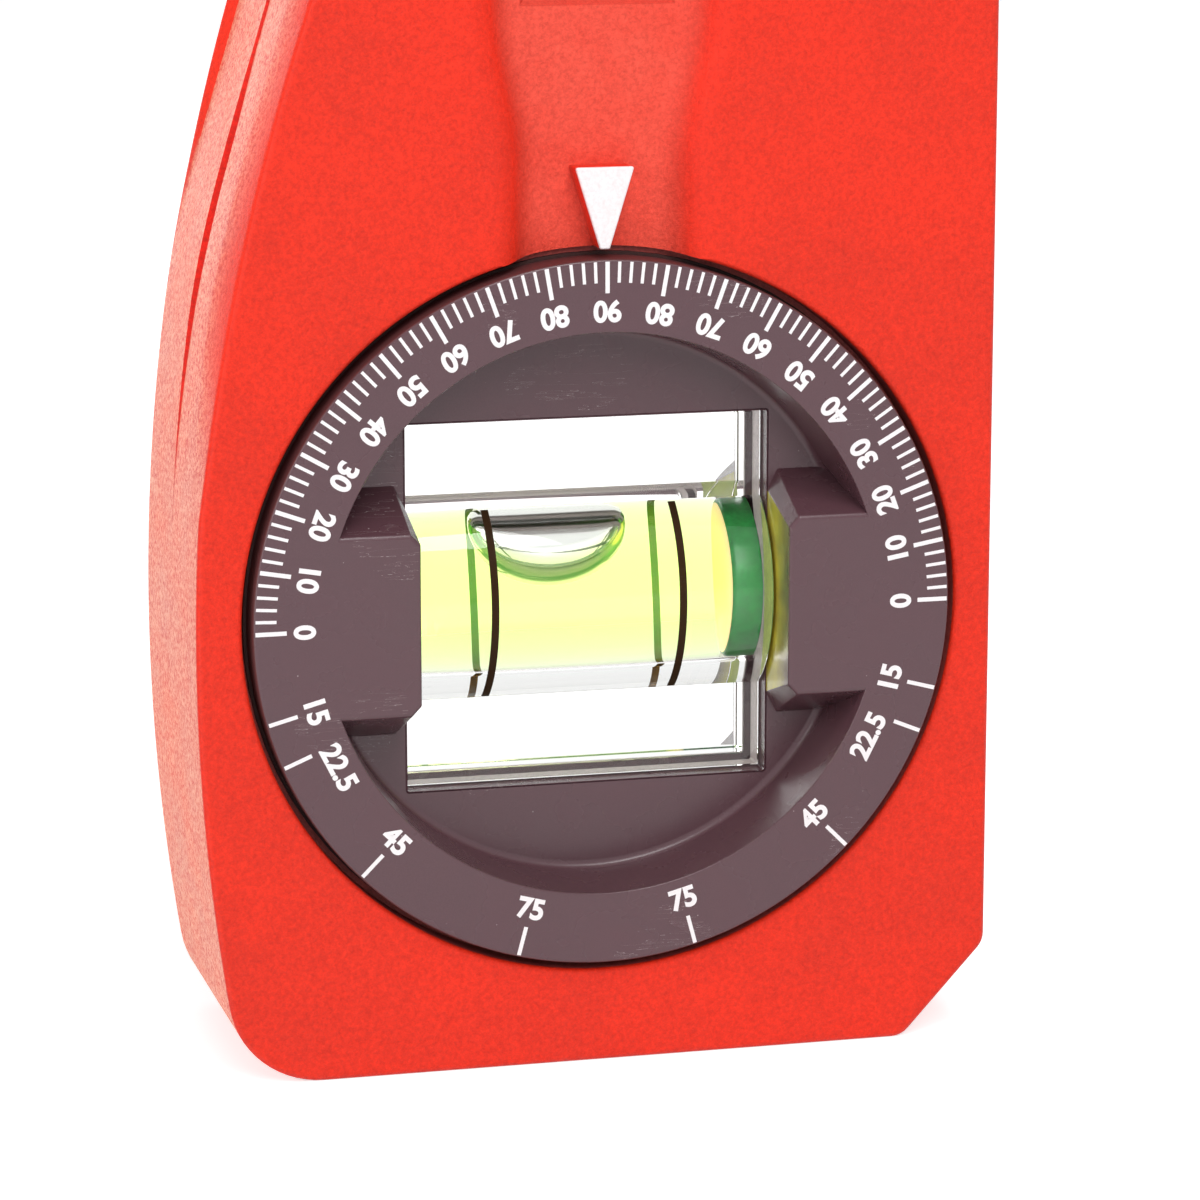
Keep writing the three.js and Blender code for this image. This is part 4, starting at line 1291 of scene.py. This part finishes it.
def build_rear_dial():
    """The rear half of the dial with its four screw seats."""
    half = dial_half()
    seat = SCREW_HEAD_RADIUS + SCREW_GAP
    for place in screw_places():
        hole = lathe([
            (0, -OVERRUN), (HOLE_RADIUS, -OVERRUN), (HOLE_RADIUS, HEAD_SEAT), (seat, HEAD_SEAT),
            (seat, FLOOR_FACE + OVERRUN), (0, FLOOR_FACE + OVERRUN),
        ])
        half = cut(half, moved(hole, place))
    return half


def build_front_dial():
    """The front half of the dial with blind holes for the screws."""
    half = mirrored(dial_half())
    end = -SCREW_REACH - SCREW_GAP
    for place in screw_places():
        hole = lathe([(0, end), (HOLE_RADIUS, end), (HOLE_RADIUS, OVERRUN), (0, OVERRUN)])
        half = cut(half, moved(hole, place))
    return half


def build_screw():
    """A screw with a low round head and a crossed driver slot."""
    top = HEAD_SEAT + SCREW_HEAD_HEIGHT
    under, over = (SCREW_HEAD_RADIUS, HEAD_SEAT), (SCREW_HEAD_RADIUS, top)
    blank = lathe([
        (0, -SCREW_REACH), (SCREW_RADIUS, -SCREW_REACH), (SCREW_RADIUS, HEAD_SEAT), under,
        *rounded_corner(under, over, (0, top), SCREW_HEAD_ROUND), (0, top),
    ])
    half, thin = DRIVER_SLOT_LENGTH / 2, DRIVER_SLOT_WIDTH / 2
    low, high = top - DRIVER_SLOT_DEPTH, top + OVERRUN
    level = box((-half, low, -thin), (half, high, thin))
    upright = box((-thin, low, -half), (thin, high, half))
    return cut(blank, level, upright)


# Print


def mark(angle, inner_share, width):
    """One printed mark across the printed ring, at an angle from the right-hand 0 mark."""
    inner, outer, half = PRINT_RADIUS * inner_share, PRINT_RADIUS, width / 2
    thing = box((inner, -DIAL_FACE - PRINT_PROUD, -half), (outer, -DIAL_FACE + PRINT_SUNK, half))
    thing.data.transform(Matrix.Rotation(-math.radians(angle), 4, "Y"))
    return thing


def lower_angles():
    """The angles of the lower marks, on both sides, with their numbers and the numbers' own angles."""
    for below, text, number_below in LOWER_MARKS:
        yield -below, text, -number_below
        yield HALF_TURN + below, text, HALF_TURN + number_below


def build_marks(settings):
    """All marks round the printed ring of the front face."""
    things = []
    for angle in range(0, HALF_TURN + 1, TICK_STEP):
        major = angle % NUMBER_STEP == 0
        share = MAJOR_TICK_SHARE if major else MINOR_TICK_SHARE
        things.append(mark(angle, share, settings.major_width if major else settings.minor_width))
    things += [
        mark(angle, LOWER_TICK_SHARE, settings.lower_width) for angle, *number_place in lower_angles()
    ]
    return gathered(things)


def number(text, angle, settings):
    """One printed number, its top towards the dial's centre."""
    curve = bpy.data.curves.new("number", "FONT")
    curve.body = text
    curve.align_x = "CENTER"
    curve.offset = settings.number_weight
    curve.extrude = (PRINT_PROUD + PRINT_SUNK) / 2
    curve.resolution_u = NUMBER_STEPS
    writing = in_scene("number", curve)
    graph = bpy.context.evaluated_depsgraph_get()
    mesh = bpy.data.meshes.new_from_object(writing.evaluated_get(graph))
    bpy.data.objects.remove(writing)
    corners = np.array([vertex.co for vertex in mesh.vertices])
    low, high = corners.min(axis=0), corners.max(axis=0)
    size = settings.number_height / (high[1] - low[1])
    mesh.transform(Matrix.Translation((0, -(low[1] + high[1]) / 2, 0)))
    mesh.transform(Matrix.Diagonal((size * settings.number_squeeze, size, 1, 1)))
    mesh.transform(Matrix.Rotation(math.radians(angle + QUARTER_TURN), 4, "Z"))
    radius, turn = PRINT_RADIUS * NUMBER_SHARE, math.radians(angle)
    mesh.transform(Matrix.Rotation(math.pi / 2, 4, "X"))
    depth = -DIAL_FACE - (PRINT_PROUD - PRINT_SUNK) / 2
    mesh.transform(Matrix.Translation((radius * math.cos(turn), depth, radius * math.sin(turn))))
    return in_scene("number", mesh)


def build_numbers(settings):
    """All numbers of the front face."""
    things = []
    for angle in range(0, HALF_TURN + 1, NUMBER_STEP):
        things.append(number(str(min(angle, HALF_TURN - angle)), angle, settings))
    things += [number(text, angle, settings) for mark_angle, text, angle in lower_angles()]
    return gathered(things)


# Vial


def vial_radius(x):
    """The bore's radius: widest in the middle, so that the bubble rises to it."""
    return VIAL_BORE_RADIUS - VIAL_BORE_TAPER * (x / BLOCK_HALF) ** 2


def bore_profile(start, end, gap):
    """Radius and place points of a round solid along X that follows the bore."""
    wall = [(vial_radius(x) - gap, x) for x in np.linspace(start, end, TAPER_STEPS + 1)]
    return [(0, start), *wall, (0, end)]


def block_slab():
    """The clear slab with its hidden rim, its edges rounded."""
    outline = rounded_outline(square(BLOCK_HALF), BLOCK_EDGE)
    rim = rounded_outline(square(RIM_HALF), BLOCK_EDGE)
    rounding = edge_rounding(BLOCK_EDGE)
    half = RIM_THICKNESS / 2
    return loft([
        *(ring_at(outline, -drawn, -SHOULDER + sink) for drawn, sink in rounding),
        ring_at(outline, 0, -SHOULDER + BOND_FRONT),
        ring_at(outline, 0, -half), ring_at(rim, 0, -half), ring_at(rim, 0, half), ring_at(outline, 0, half),
        ring_at(outline, 0, SHOULDER - BOND_REAR),
        *(ring_at(outline, -drawn, SHOULDER - sink) for drawn, sink in rounding[::-1]),
    ])


def build_block():
    """The clear block with its barrel and bore; its bonded sides and its wet bore have their own finish."""
    corners = [(0, -BLOCK_HALF), (BARREL_RADIUS, -BLOCK_HALF), (BARREL_RADIUS, BLOCK_HALF), (0, BLOCK_HALF)]
    barrel = lathe([
        corners[0],
        *rounded_corner(*corners[:3], BARREL_EDGE),
        *rounded_corner(*corners[1:], BARREL_EDGE),
        corners[3],
    ], ROUND_SIDES, "X")
    bore = lathe(bore_profile(BORE_END, RIM_HALF + OVERRUN, 0), axis="X")
    block = cut(joined(block_slab(), barrel), bore)
    for face in block.data.polygons:
        x, y, z = face.center
        along = BORE_END - MARK_REACH < x < BLOCK_HALF - MARK_REACH
        in_bore = along and math.hypot(y, z) < VIAL_BORE_RADIUS + MARK_REACH
        on_side = max(abs(x), abs(z)) > BLOCK_HALF - MARK_REACH and abs(face.normal.y) < BOND_TURN
        bonded = on_side and -SHOULDER + BOND_FRONT < y < SHOULDER - BOND_REAR
        at_end = x > BLOCK_HALF - MARK_REACH and face.normal.x > END_TURN and abs(y) > SHOULDER
        face.material_index = WET if in_bore else BONDED if bonded else BONDED_END if at_end else CLEAR
    return block


def way_out(a, b, c):
    """How far it is from inside a round shape to its skin: the positive root of a x x + 2 b x + c."""
    return (-b + math.sqrt(b * b - a * c)) / max(a, LEAST_SQUARE)


def build_bubble():
    """The bubble: a long drop under the bore's roof, its rim rounded where it meets the wall."""
    half = np.array([BUBBLE_LENGTH / 2, BUBBLE_WIDTH / 2, BUBBLE_DEPTH - BUBBLE_SHOULDER])
    heart = np.array([0, 0, VIAL_BORE_RADIUS - BUBBLE_DEPTH / 2])
    offset = (heart - (0, 0, VIAL_BORE_RADIUS - BUBBLE_SHOULDER)) / half
    tube = vial_radius(BUBBLE_OFFSET) - BUBBLE_FILM

    def reach(way):
        flat = way / half
        drop = way_out(flat @ flat, flat @ offset, offset @ offset - 1)
        wall = way_out(way[1:] @ way[1:], way[1:] @ heart[1:], heart[1:] @ heart[1:] - tube ** 2)
        return (drop ** -BUBBLE_ROUNDNESS + wall ** -BUBBLE_ROUNDNESS) ** (-1 / BUBBLE_ROUNDNESS)

    sides = 2 * BUBBLE_STEPS
    points, rows = [], []
    for polar in np.linspace(0, math.pi, BUBBLE_STEPS + 1):
        pole = polar in (0, math.pi)
        across = 0 if pole else math.sin(polar)
        start = len(points)
        for turn in np.linspace(0, 2 * math.pi, 1 if pole else sides, endpoint=False):
            way = np.array([across * math.cos(turn), across * math.sin(turn), math.cos(polar)])
            points.append(heart + way * reach(way) + (BUBBLE_OFFSET, 0, 0))
        rows.append([start] * sides if pole else list(range(start, start + sides)))
    return solid(points, faces_between(rows))


def build_liquid():
    """The liquid: the bore's filling, hollow where the bubble is."""
    filling = lathe(bore_profile(BORE_END + WET_GAP, PLUG_INNER - WET_GAP, WET_GAP), axis="X")
    hollow = build_bubble()
    hollow.data.flip_normals()
    return gathered([filling, hollow])


def build_bubble_skin():
    """The liquid's inner surface round the bubble, facing into it."""
    skin = build_bubble()
    centre = Vector((BUBBLE_OFFSET, 0, VIAL_BORE_RADIUS - BUBBLE_DEPTH / 2))
    shrink = 1 - WET_GAP / BUBBLE_DEPTH
    skin.data.transform(Matrix.Translation(-centre))
    skin.data.transform(Matrix.Scale(shrink, 4))
    skin.data.transform(Matrix.Translation(centre))
    skin.data.flip_normals()
    return skin


def build_plug():
    """The plug that closes the bore, its inner end rounded and marked for a paler colour and a painted glow,
    which stand in for the liquid's light falling there.
    """
    radius = vial_radius(BLOCK_HALF) - WET_GAP
    middle, inner, outer, end = (0, PLUG_INNER), (radius, PLUG_INNER), (radius, BLOCK_HALF), (0, BLOCK_HALF)
    plug = lathe([
        middle,
        *rounded_corner(middle, inner, outer, PLUG_ROUND),
        *rounded_corner(inner, outer, end, WET_GAP),
        end,
    ], axis="X")
    for face in plug.data.polygons:
        face.material_index = PLUG_END if face.center.x < PLUG_INNER + MARK_REACH else PLUG_SIDE
    return plug


def build_line(x):
    """A printed line round the front of the barrel, between the block's two flat shoulders."""
    end = math.acos((SHOULDER + LINE_END_GAP) / BARREL_RADIUS)
    rings = []
    for angle in np.linspace(-end, end, LINE_STEPS + 1):
        ring = []
        for across, radius in ((-1, WET_GAP / 2), (1, WET_GAP / 2), (1, LINE_HEIGHT), (-1, LINE_HEIGHT)):
            reach = BARREL_RADIUS + radius
            ring.append((x + across * LINE_WIDTH / 2, -reach * math.cos(angle), reach * math.sin(angle)))
        rings.append(np.array(ring))
    return loft(rings)


# Magnets


def build_cup_and_magnet(low, high):
    """The cup that fills a box of the frame, open at the base, and the magnet in it."""
    back, mouth, height = low[0], high[0], (low[2] + high[2]) / 2
    outer = (high[2] - low[2]) / 2
    inner, floor = outer - CUP_WALL, back + CUP_WALL
    cup = lathe([
        (0, back), (outer, back),
        *rounded_corner((outer, back), (outer, mouth), (inner, mouth), CUP_EDGE),
        *rounded_corner((outer, mouth), (inner, mouth), (inner, floor), CUP_EDGE),
        (inner, floor), (0, floor),
    ], axis="X")
    radius = inner - CUP_GAP
    magnet = lathe([
        (0, floor), (radius, floor),
        *rounded_corner((radius, floor), (radius, mouth), (0, mouth), MAGNET_EDGE),
        (0, mouth),
    ], axis="X")
    return moved(cup, (0, 0, height)), moved(magnet, (0, 0, height))


# Operators


def on_dial(thing, name, materials, stands_for=()):
    """A piece that turns with the dial, made round the origin and set on the dial's axis."""
    return piece(moved(thing, DIAL_CENTRE), name, "dial", materials, stands_for)


class LEVEL_OT_body(bpy.types.Operator):
    """Builds the metal body with its coat"""

    bl_idname = "level.body"
    bl_label = "Body"

    def execute(self, context):
        settings = context.scene.level_body
        grain = {"grain": settings.coat_grain}
        skin = {"roughness": settings.coat_roughness, "relief": settings.coat_relief, **grain}
        coat = grained("Powder coat", settings.coat, recess=settings.recess, **skin)
        well = grained("Dial well finish", settings.seat, **grain)
        outside = grained("Powder coat outside", settings.coat, sheen=settings.coat_sheen, **skin)
        groove = grained("Groove coat", settings.groove, **grain)
        piece(build_body(), "coated_body", "body", [coat, well, outside, groove], ["body"])
        return {"FINISHED"}


class LEVEL_OT_pointers(bpy.types.Operator):
    """Builds the two raised pointers above the dial"""

    bl_idname = "level.pointers"
    bl_label = "Pointers"

    def execute(self, context):
        settings = context.scene.level_body
        paint = grained("Pointer paint", settings.pointer, grain=settings.coat_grain)
        pointers = {"front_pointer": build_pointer(), "rear_pointer": mirrored(build_pointer())}
        for name, pointer in pointers.items():
            piece(pointer, f"painted_{name}", "body", [paint], [name])
        return {"FINISHED"}


class LEVEL_OT_dial(bpy.types.Operator):
    """Builds the front and rear halves of the dial"""

    bl_idname = "level.dial"
    bl_label = "Dial"

    def execute(self, context):
        settings = context.scene.level_dial
        plastic = grained("Dial plastic", settings.plastic)
        wall = lit_wall("Lit wall", settings.plastic, settings.wall_light)
        rim = grained("Dial rim", settings.rim)
        for name, half in (("front_dial", build_front_dial()), ("rear_dial", build_rear_dial())):
            on_dial(mark_finishes(half), f"moulded_{name}", [plastic, wall, rim], [name])
        return {"FINISHED"}


class LEVEL_OT_print(bpy.types.Operator):
    """Prints the marks and numbers on both faces of the dial"""

    bl_idname = "level.print"
    bl_label = "Print"

    def execute(self, context):
        settings = context.scene.level_dial
        ink = grained("Print ink", settings.ink)
        for side in ("front", "rear"):
            for kind, build in (("marks", build_marks), ("numbers", build_numbers)):
                printed = build(settings) if side == "front" else faced_back(build(settings))
                on_dial(printed, f"{side}_{kind}", [ink])
        return {"FINISHED"}


class LEVEL_OT_vial(bpy.types.Operator):
    """Builds the clear block of the vial"""

    bl_idname = "level.vial"
    bl_label = "Vial block"

    def execute(self, context):
        settings = context.scene.level_vial
        acrylic = clear("Clear acrylic", settings.acrylic, settings.acrylic_ior, ACRYLIC_DUST)
        wet = clear("Wet bore", (1, 1, 1), settings.acrylic_ior / settings.liquid_ior)
        bond = grained("Bonded side", settings.bond, light=settings.bond_light)
        end = grained("Bonded end", settings.bond_end)
        on_dial(build_block(), "clear_block", [acrylic, wet, bond, end], ["vial_block"])
        return {"FINISHED"}


class LEVEL_OT_liquid(bpy.types.Operator):
    """Builds the liquid with its bubble"""

    bl_idname = "level.liquid"
    bl_label = "Liquid and bubble"

    def execute(self, context):
        settings = context.scene.level_vial
        dyed = clear("Dyed liquid", (1, 1, 1), 1.0)
        tree = dyed.node_tree
        colouring = {"Color": (*settings.liquid, 1), "Density": settings.density}
        # painted glow of the dye, as emission in the liquid
        shining = {"Color": (*settings.glow, 1), "Strength": settings.glow_strength}
        dye = add_node(tree, "ShaderNodeVolumeAbsorption", colouring)
        glow = add_node(tree, "ShaderNodeEmission", shining)
        both = add_node(tree, "ShaderNodeAddShader")
        tree.links.new(dye.outputs["Volume"], both.inputs[0])
        tree.links.new(glow.outputs["Emission"], both.inputs[1])
        tree.links.new(both.outputs["Shader"], tree.nodes["Material Output"].inputs["Volume"])
        skin = clear("Bubble skin", (1, 1, 1), settings.liquid_ior, roughness=SKIN_ROUGHNESS)
        on_dial(build_liquid(), "liquid", [dyed], ["vial_liquid"])
        on_dial(build_bubble_skin(), "bubble_skin", [skin])
        return {"FINISHED"}


class LEVEL_OT_plug(bpy.types.Operator):
    """Builds the plug that closes the vial"""

    bl_idname = "level.plug"
    bl_label = "Plug"

    def execute(self, context):
        settings = context.scene.level_vial
        side = grained("Plug plastic", settings.plug)
        end = grained("Plug end", settings.plug_end, light=settings.plug_light)
        on_dial(build_plug(), "moulded_plug", [side, end], ["vial_plug"])
        return {"FINISHED"}


class LEVEL_OT_lines(bpy.types.Operator):
    """Prints the lines round the barrel, on both faces"""

    bl_idname = "level.lines"
    bl_label = "Lines"

    def execute(self, context):
        settings = context.scene.level_vial
        inks = {
            "front": grained("Line ink", settings.line),
            "rear": grained("Rear line ink", settings.rear_line),
        }
        for side, direction in (("left", -1), ("right", 1)):
            reach = direction * LINE_SPACING / 2
            front, rear = build_line(LINE_OFFSET + reach), mirrored(build_line(-LINE_OFFSET + reach))
            for face, line in (("front", front), ("rear", rear)):
                name = f"{face}_{side}_line"
                on_dial(line, f"inked_{name}", [inks[face]], [name])
        return {"FINISHED"}


class LEVEL_OT_rings(bpy.types.Operator):
    """Finishes the friction rings between dial and body"""

    bl_idname = "level.rings"
    bl_label = "Friction rings"

    def execute(self, context):
        rubber = grained("Ring rubber", context.scene.level_small.rubber)
        dress("front_friction_ring", rubber)
        dress("rear_friction_ring", rubber)
        return {"FINISHED"}


class LEVEL_OT_screws(bpy.types.Operator):
    """Builds the screws that join the dial halves"""

    bl_idname = "level.screws"
    bl_label = "Screws"

    def execute(self, context):
        steel = worked_metal("Screw steel", context.scene.level_small.steel)
        for i, place in enumerate(screw_places(), 1):
            screw = moved(build_screw(), Vector(place) + Vector(DIAL_CENTRE))
            piece(screw, f"turned_screw_{i}", "dial", [steel], [f"dial_screw_{i}"])
        return {"FINISHED"}


class LEVEL_OT_magnets(bpy.types.Operator):
    """Builds the magnets of the measuring base and their cups"""

    bl_idname = "level.magnets"
    bl_label = "Magnets"

    def execute(self, context):
        small = context.scene.level_small
        plating = worked_metal("Magnet plating", small.plating)
        steel = worked_metal("Cup steel", small.steel)
        for i, (low, high) in enumerate(cup_boxes(), 1):
            cup, magnet = build_cup_and_magnet(low, high)
            piece(cup, f"pressed_cup_{i}", "body", [steel], [f"magnet_cup_{i}"])
            piece(magnet, f"plated_magnet_{i}", "body", [plating], [f"magnet_{i}"])
        return {"FINISHED"}


class LEVEL_OT_stage(bpy.types.Operator):
    """Sets up the floor, the lamps, the surroundings and the camera"""

    bl_idname = "level.stage"
    bl_label = "Stage"

    def execute(self, context):
        settings = context.scene.level_stage
        build_floor(settings)
        build_surroundings(context.scene, settings)
        for name, (place, width, glossy) in LAMPS.items():
            lamp = build_lamp(f"{name.capitalize()} lamp", place, width, getattr(settings, name))
            lamp.visible_glossy = glossy
        build_camera(context.scene, settings)
        context.scene.view_settings.view_transform = "Standard"
        return {"FINISHED"}


# Stage


def seen_directly(tree):
    """1 for rays from the camera and for those that a mirror or glass sends on, else 0."""
    path = add_node(tree, "ShaderNodeLightPath")
    first = math_node(tree, "MAXIMUM", path.outputs["Is Camera Ray"], path.outputs["Is Glossy Ray"])
    return math_node(tree, "MAXIMUM", first, path.outputs["Is Transmission Ray"])


def turned_to(thing, place, aim):
    """An object at a place, turned to look at a point."""
    thing.location = place
    thing.rotation_mode = "QUATERNION"
    thing.rotation_quaternion = (Vector(aim) - Vector(place)).to_track_quat("-Z", "Y")
    return thing


def build_floor(settings):
    """The pale floor: it shows white where the object doesn't shade it."""
    mesh = bpy.data.meshes.new("floor")
    mesh.from_pydata([(x, y, 0) for x, y in square(FLOOR_HALF)], [], [(0, 1, 2, 3)])
    material, tree, shader = new_material("Pale floor")
    set_inputs(shader, {
        "Base Color": (*settings.floor, 1), "Roughness": FLOOR_ROUGHNESS, "IOR": FLOOR_IOR,
        "Emission Strength": FLOOR_GLOW})
    glow = mix_colours(tree, seen_directly(tree), (0, 0, 0), (1, 1, 1))
    tree.links.new(glow, shader.inputs["Emission Color"])
    mesh.materials.append(material)
    floor = in_scene("floor", mesh)


def build_surroundings(scene, settings):
    """A white backdrop, and the soft light that comes from all round."""
    world = bpy.data.worlds.new("Surroundings")
    scene.world = world
    world.use_nodes = True
    tree = world.node_tree
    background = tree.nodes["Background"]
    background.inputs["Color"].default_value = (1, 1, 1, 1)
    strength = add_node(tree, "ShaderNodeMapRange", {"To Min": settings.fill, "To Max": 1.0})
    tree.links.new(seen_directly(tree), strength.inputs["Value"])
    tree.links.new(strength.outputs["Result"], background.inputs["Strength"])


def build_lamp(name, place, width, power):
    """A soft square lamp that faces the dial."""
    light = bpy.data.lights.new(name, "AREA")
    light.size = width
    light.energy = power
    return turned_to(in_scene(name, light), place, Vector(DIAL_CENTRE) * MM)


def build_camera(scene, settings):
    """The camera at the photograph's place."""
    lens = bpy.data.cameras.new("Camera")
    lens.lens = settings.lens
    lens.clip_start = CAMERA_CLIP
    scene.camera = turned_to(in_scene("Camera", lens), settings.camera_place, settings.camera_aim)


# Panel and registration

OPERATORS = (
    LEVEL_OT_body, LEVEL_OT_pointers, LEVEL_OT_dial, LEVEL_OT_print, LEVEL_OT_vial, LEVEL_OT_liquid,
    LEVEL_OT_plug, LEVEL_OT_lines, LEVEL_OT_rings, LEVEL_OT_screws, LEVEL_OT_magnets, LEVEL_OT_stage,
)


class LEVEL_PT_panel(bpy.types.Panel):
    """Lists the pieces of the level and their settings"""

    bl_idname = "LEVEL_PT_panel"
    bl_label = "Pocket level"
    bl_space_type = "VIEW_3D"
    bl_region_type = "UI"
    bl_category = "Level"

    def draw(self, context):
        for operator in OPERATORS:
            self.layout.operator(operator.bl_idname)
        for name, group in SETTINGS.items():
            box_layout = self.layout.box()
            box_layout.label(text=group.__doc__)
            for key in group.__annotations__:
                box_layout.prop(getattr(context.scene, name), key)


CLASSES = (*SETTINGS.values(), *OPERATORS, LEVEL_PT_panel)


def register():
    """Registers the classes and hangs the settings on the scene."""
    for kind in CLASSES:
        bpy.utils.register_class(kind)
    for name, group in SETTINGS.items():
        setattr(bpy.types.Scene, name, PointerProperty(type=group))


def unregister():
    """Takes the settings and classes away again."""
    for name in SETTINGS:
        delattr(bpy.types.Scene, name)
    for kind in reversed(CLASSES):
        bpy.utils.unregister_class(kind)


def main():
    """Builds every piece and the stage."""
    register()
    for operator in OPERATORS:
        group, name = operator.bl_idname.split(".")
        getattr(getattr(bpy.ops, group), name)()


if __name__ == "__main__":
    main()
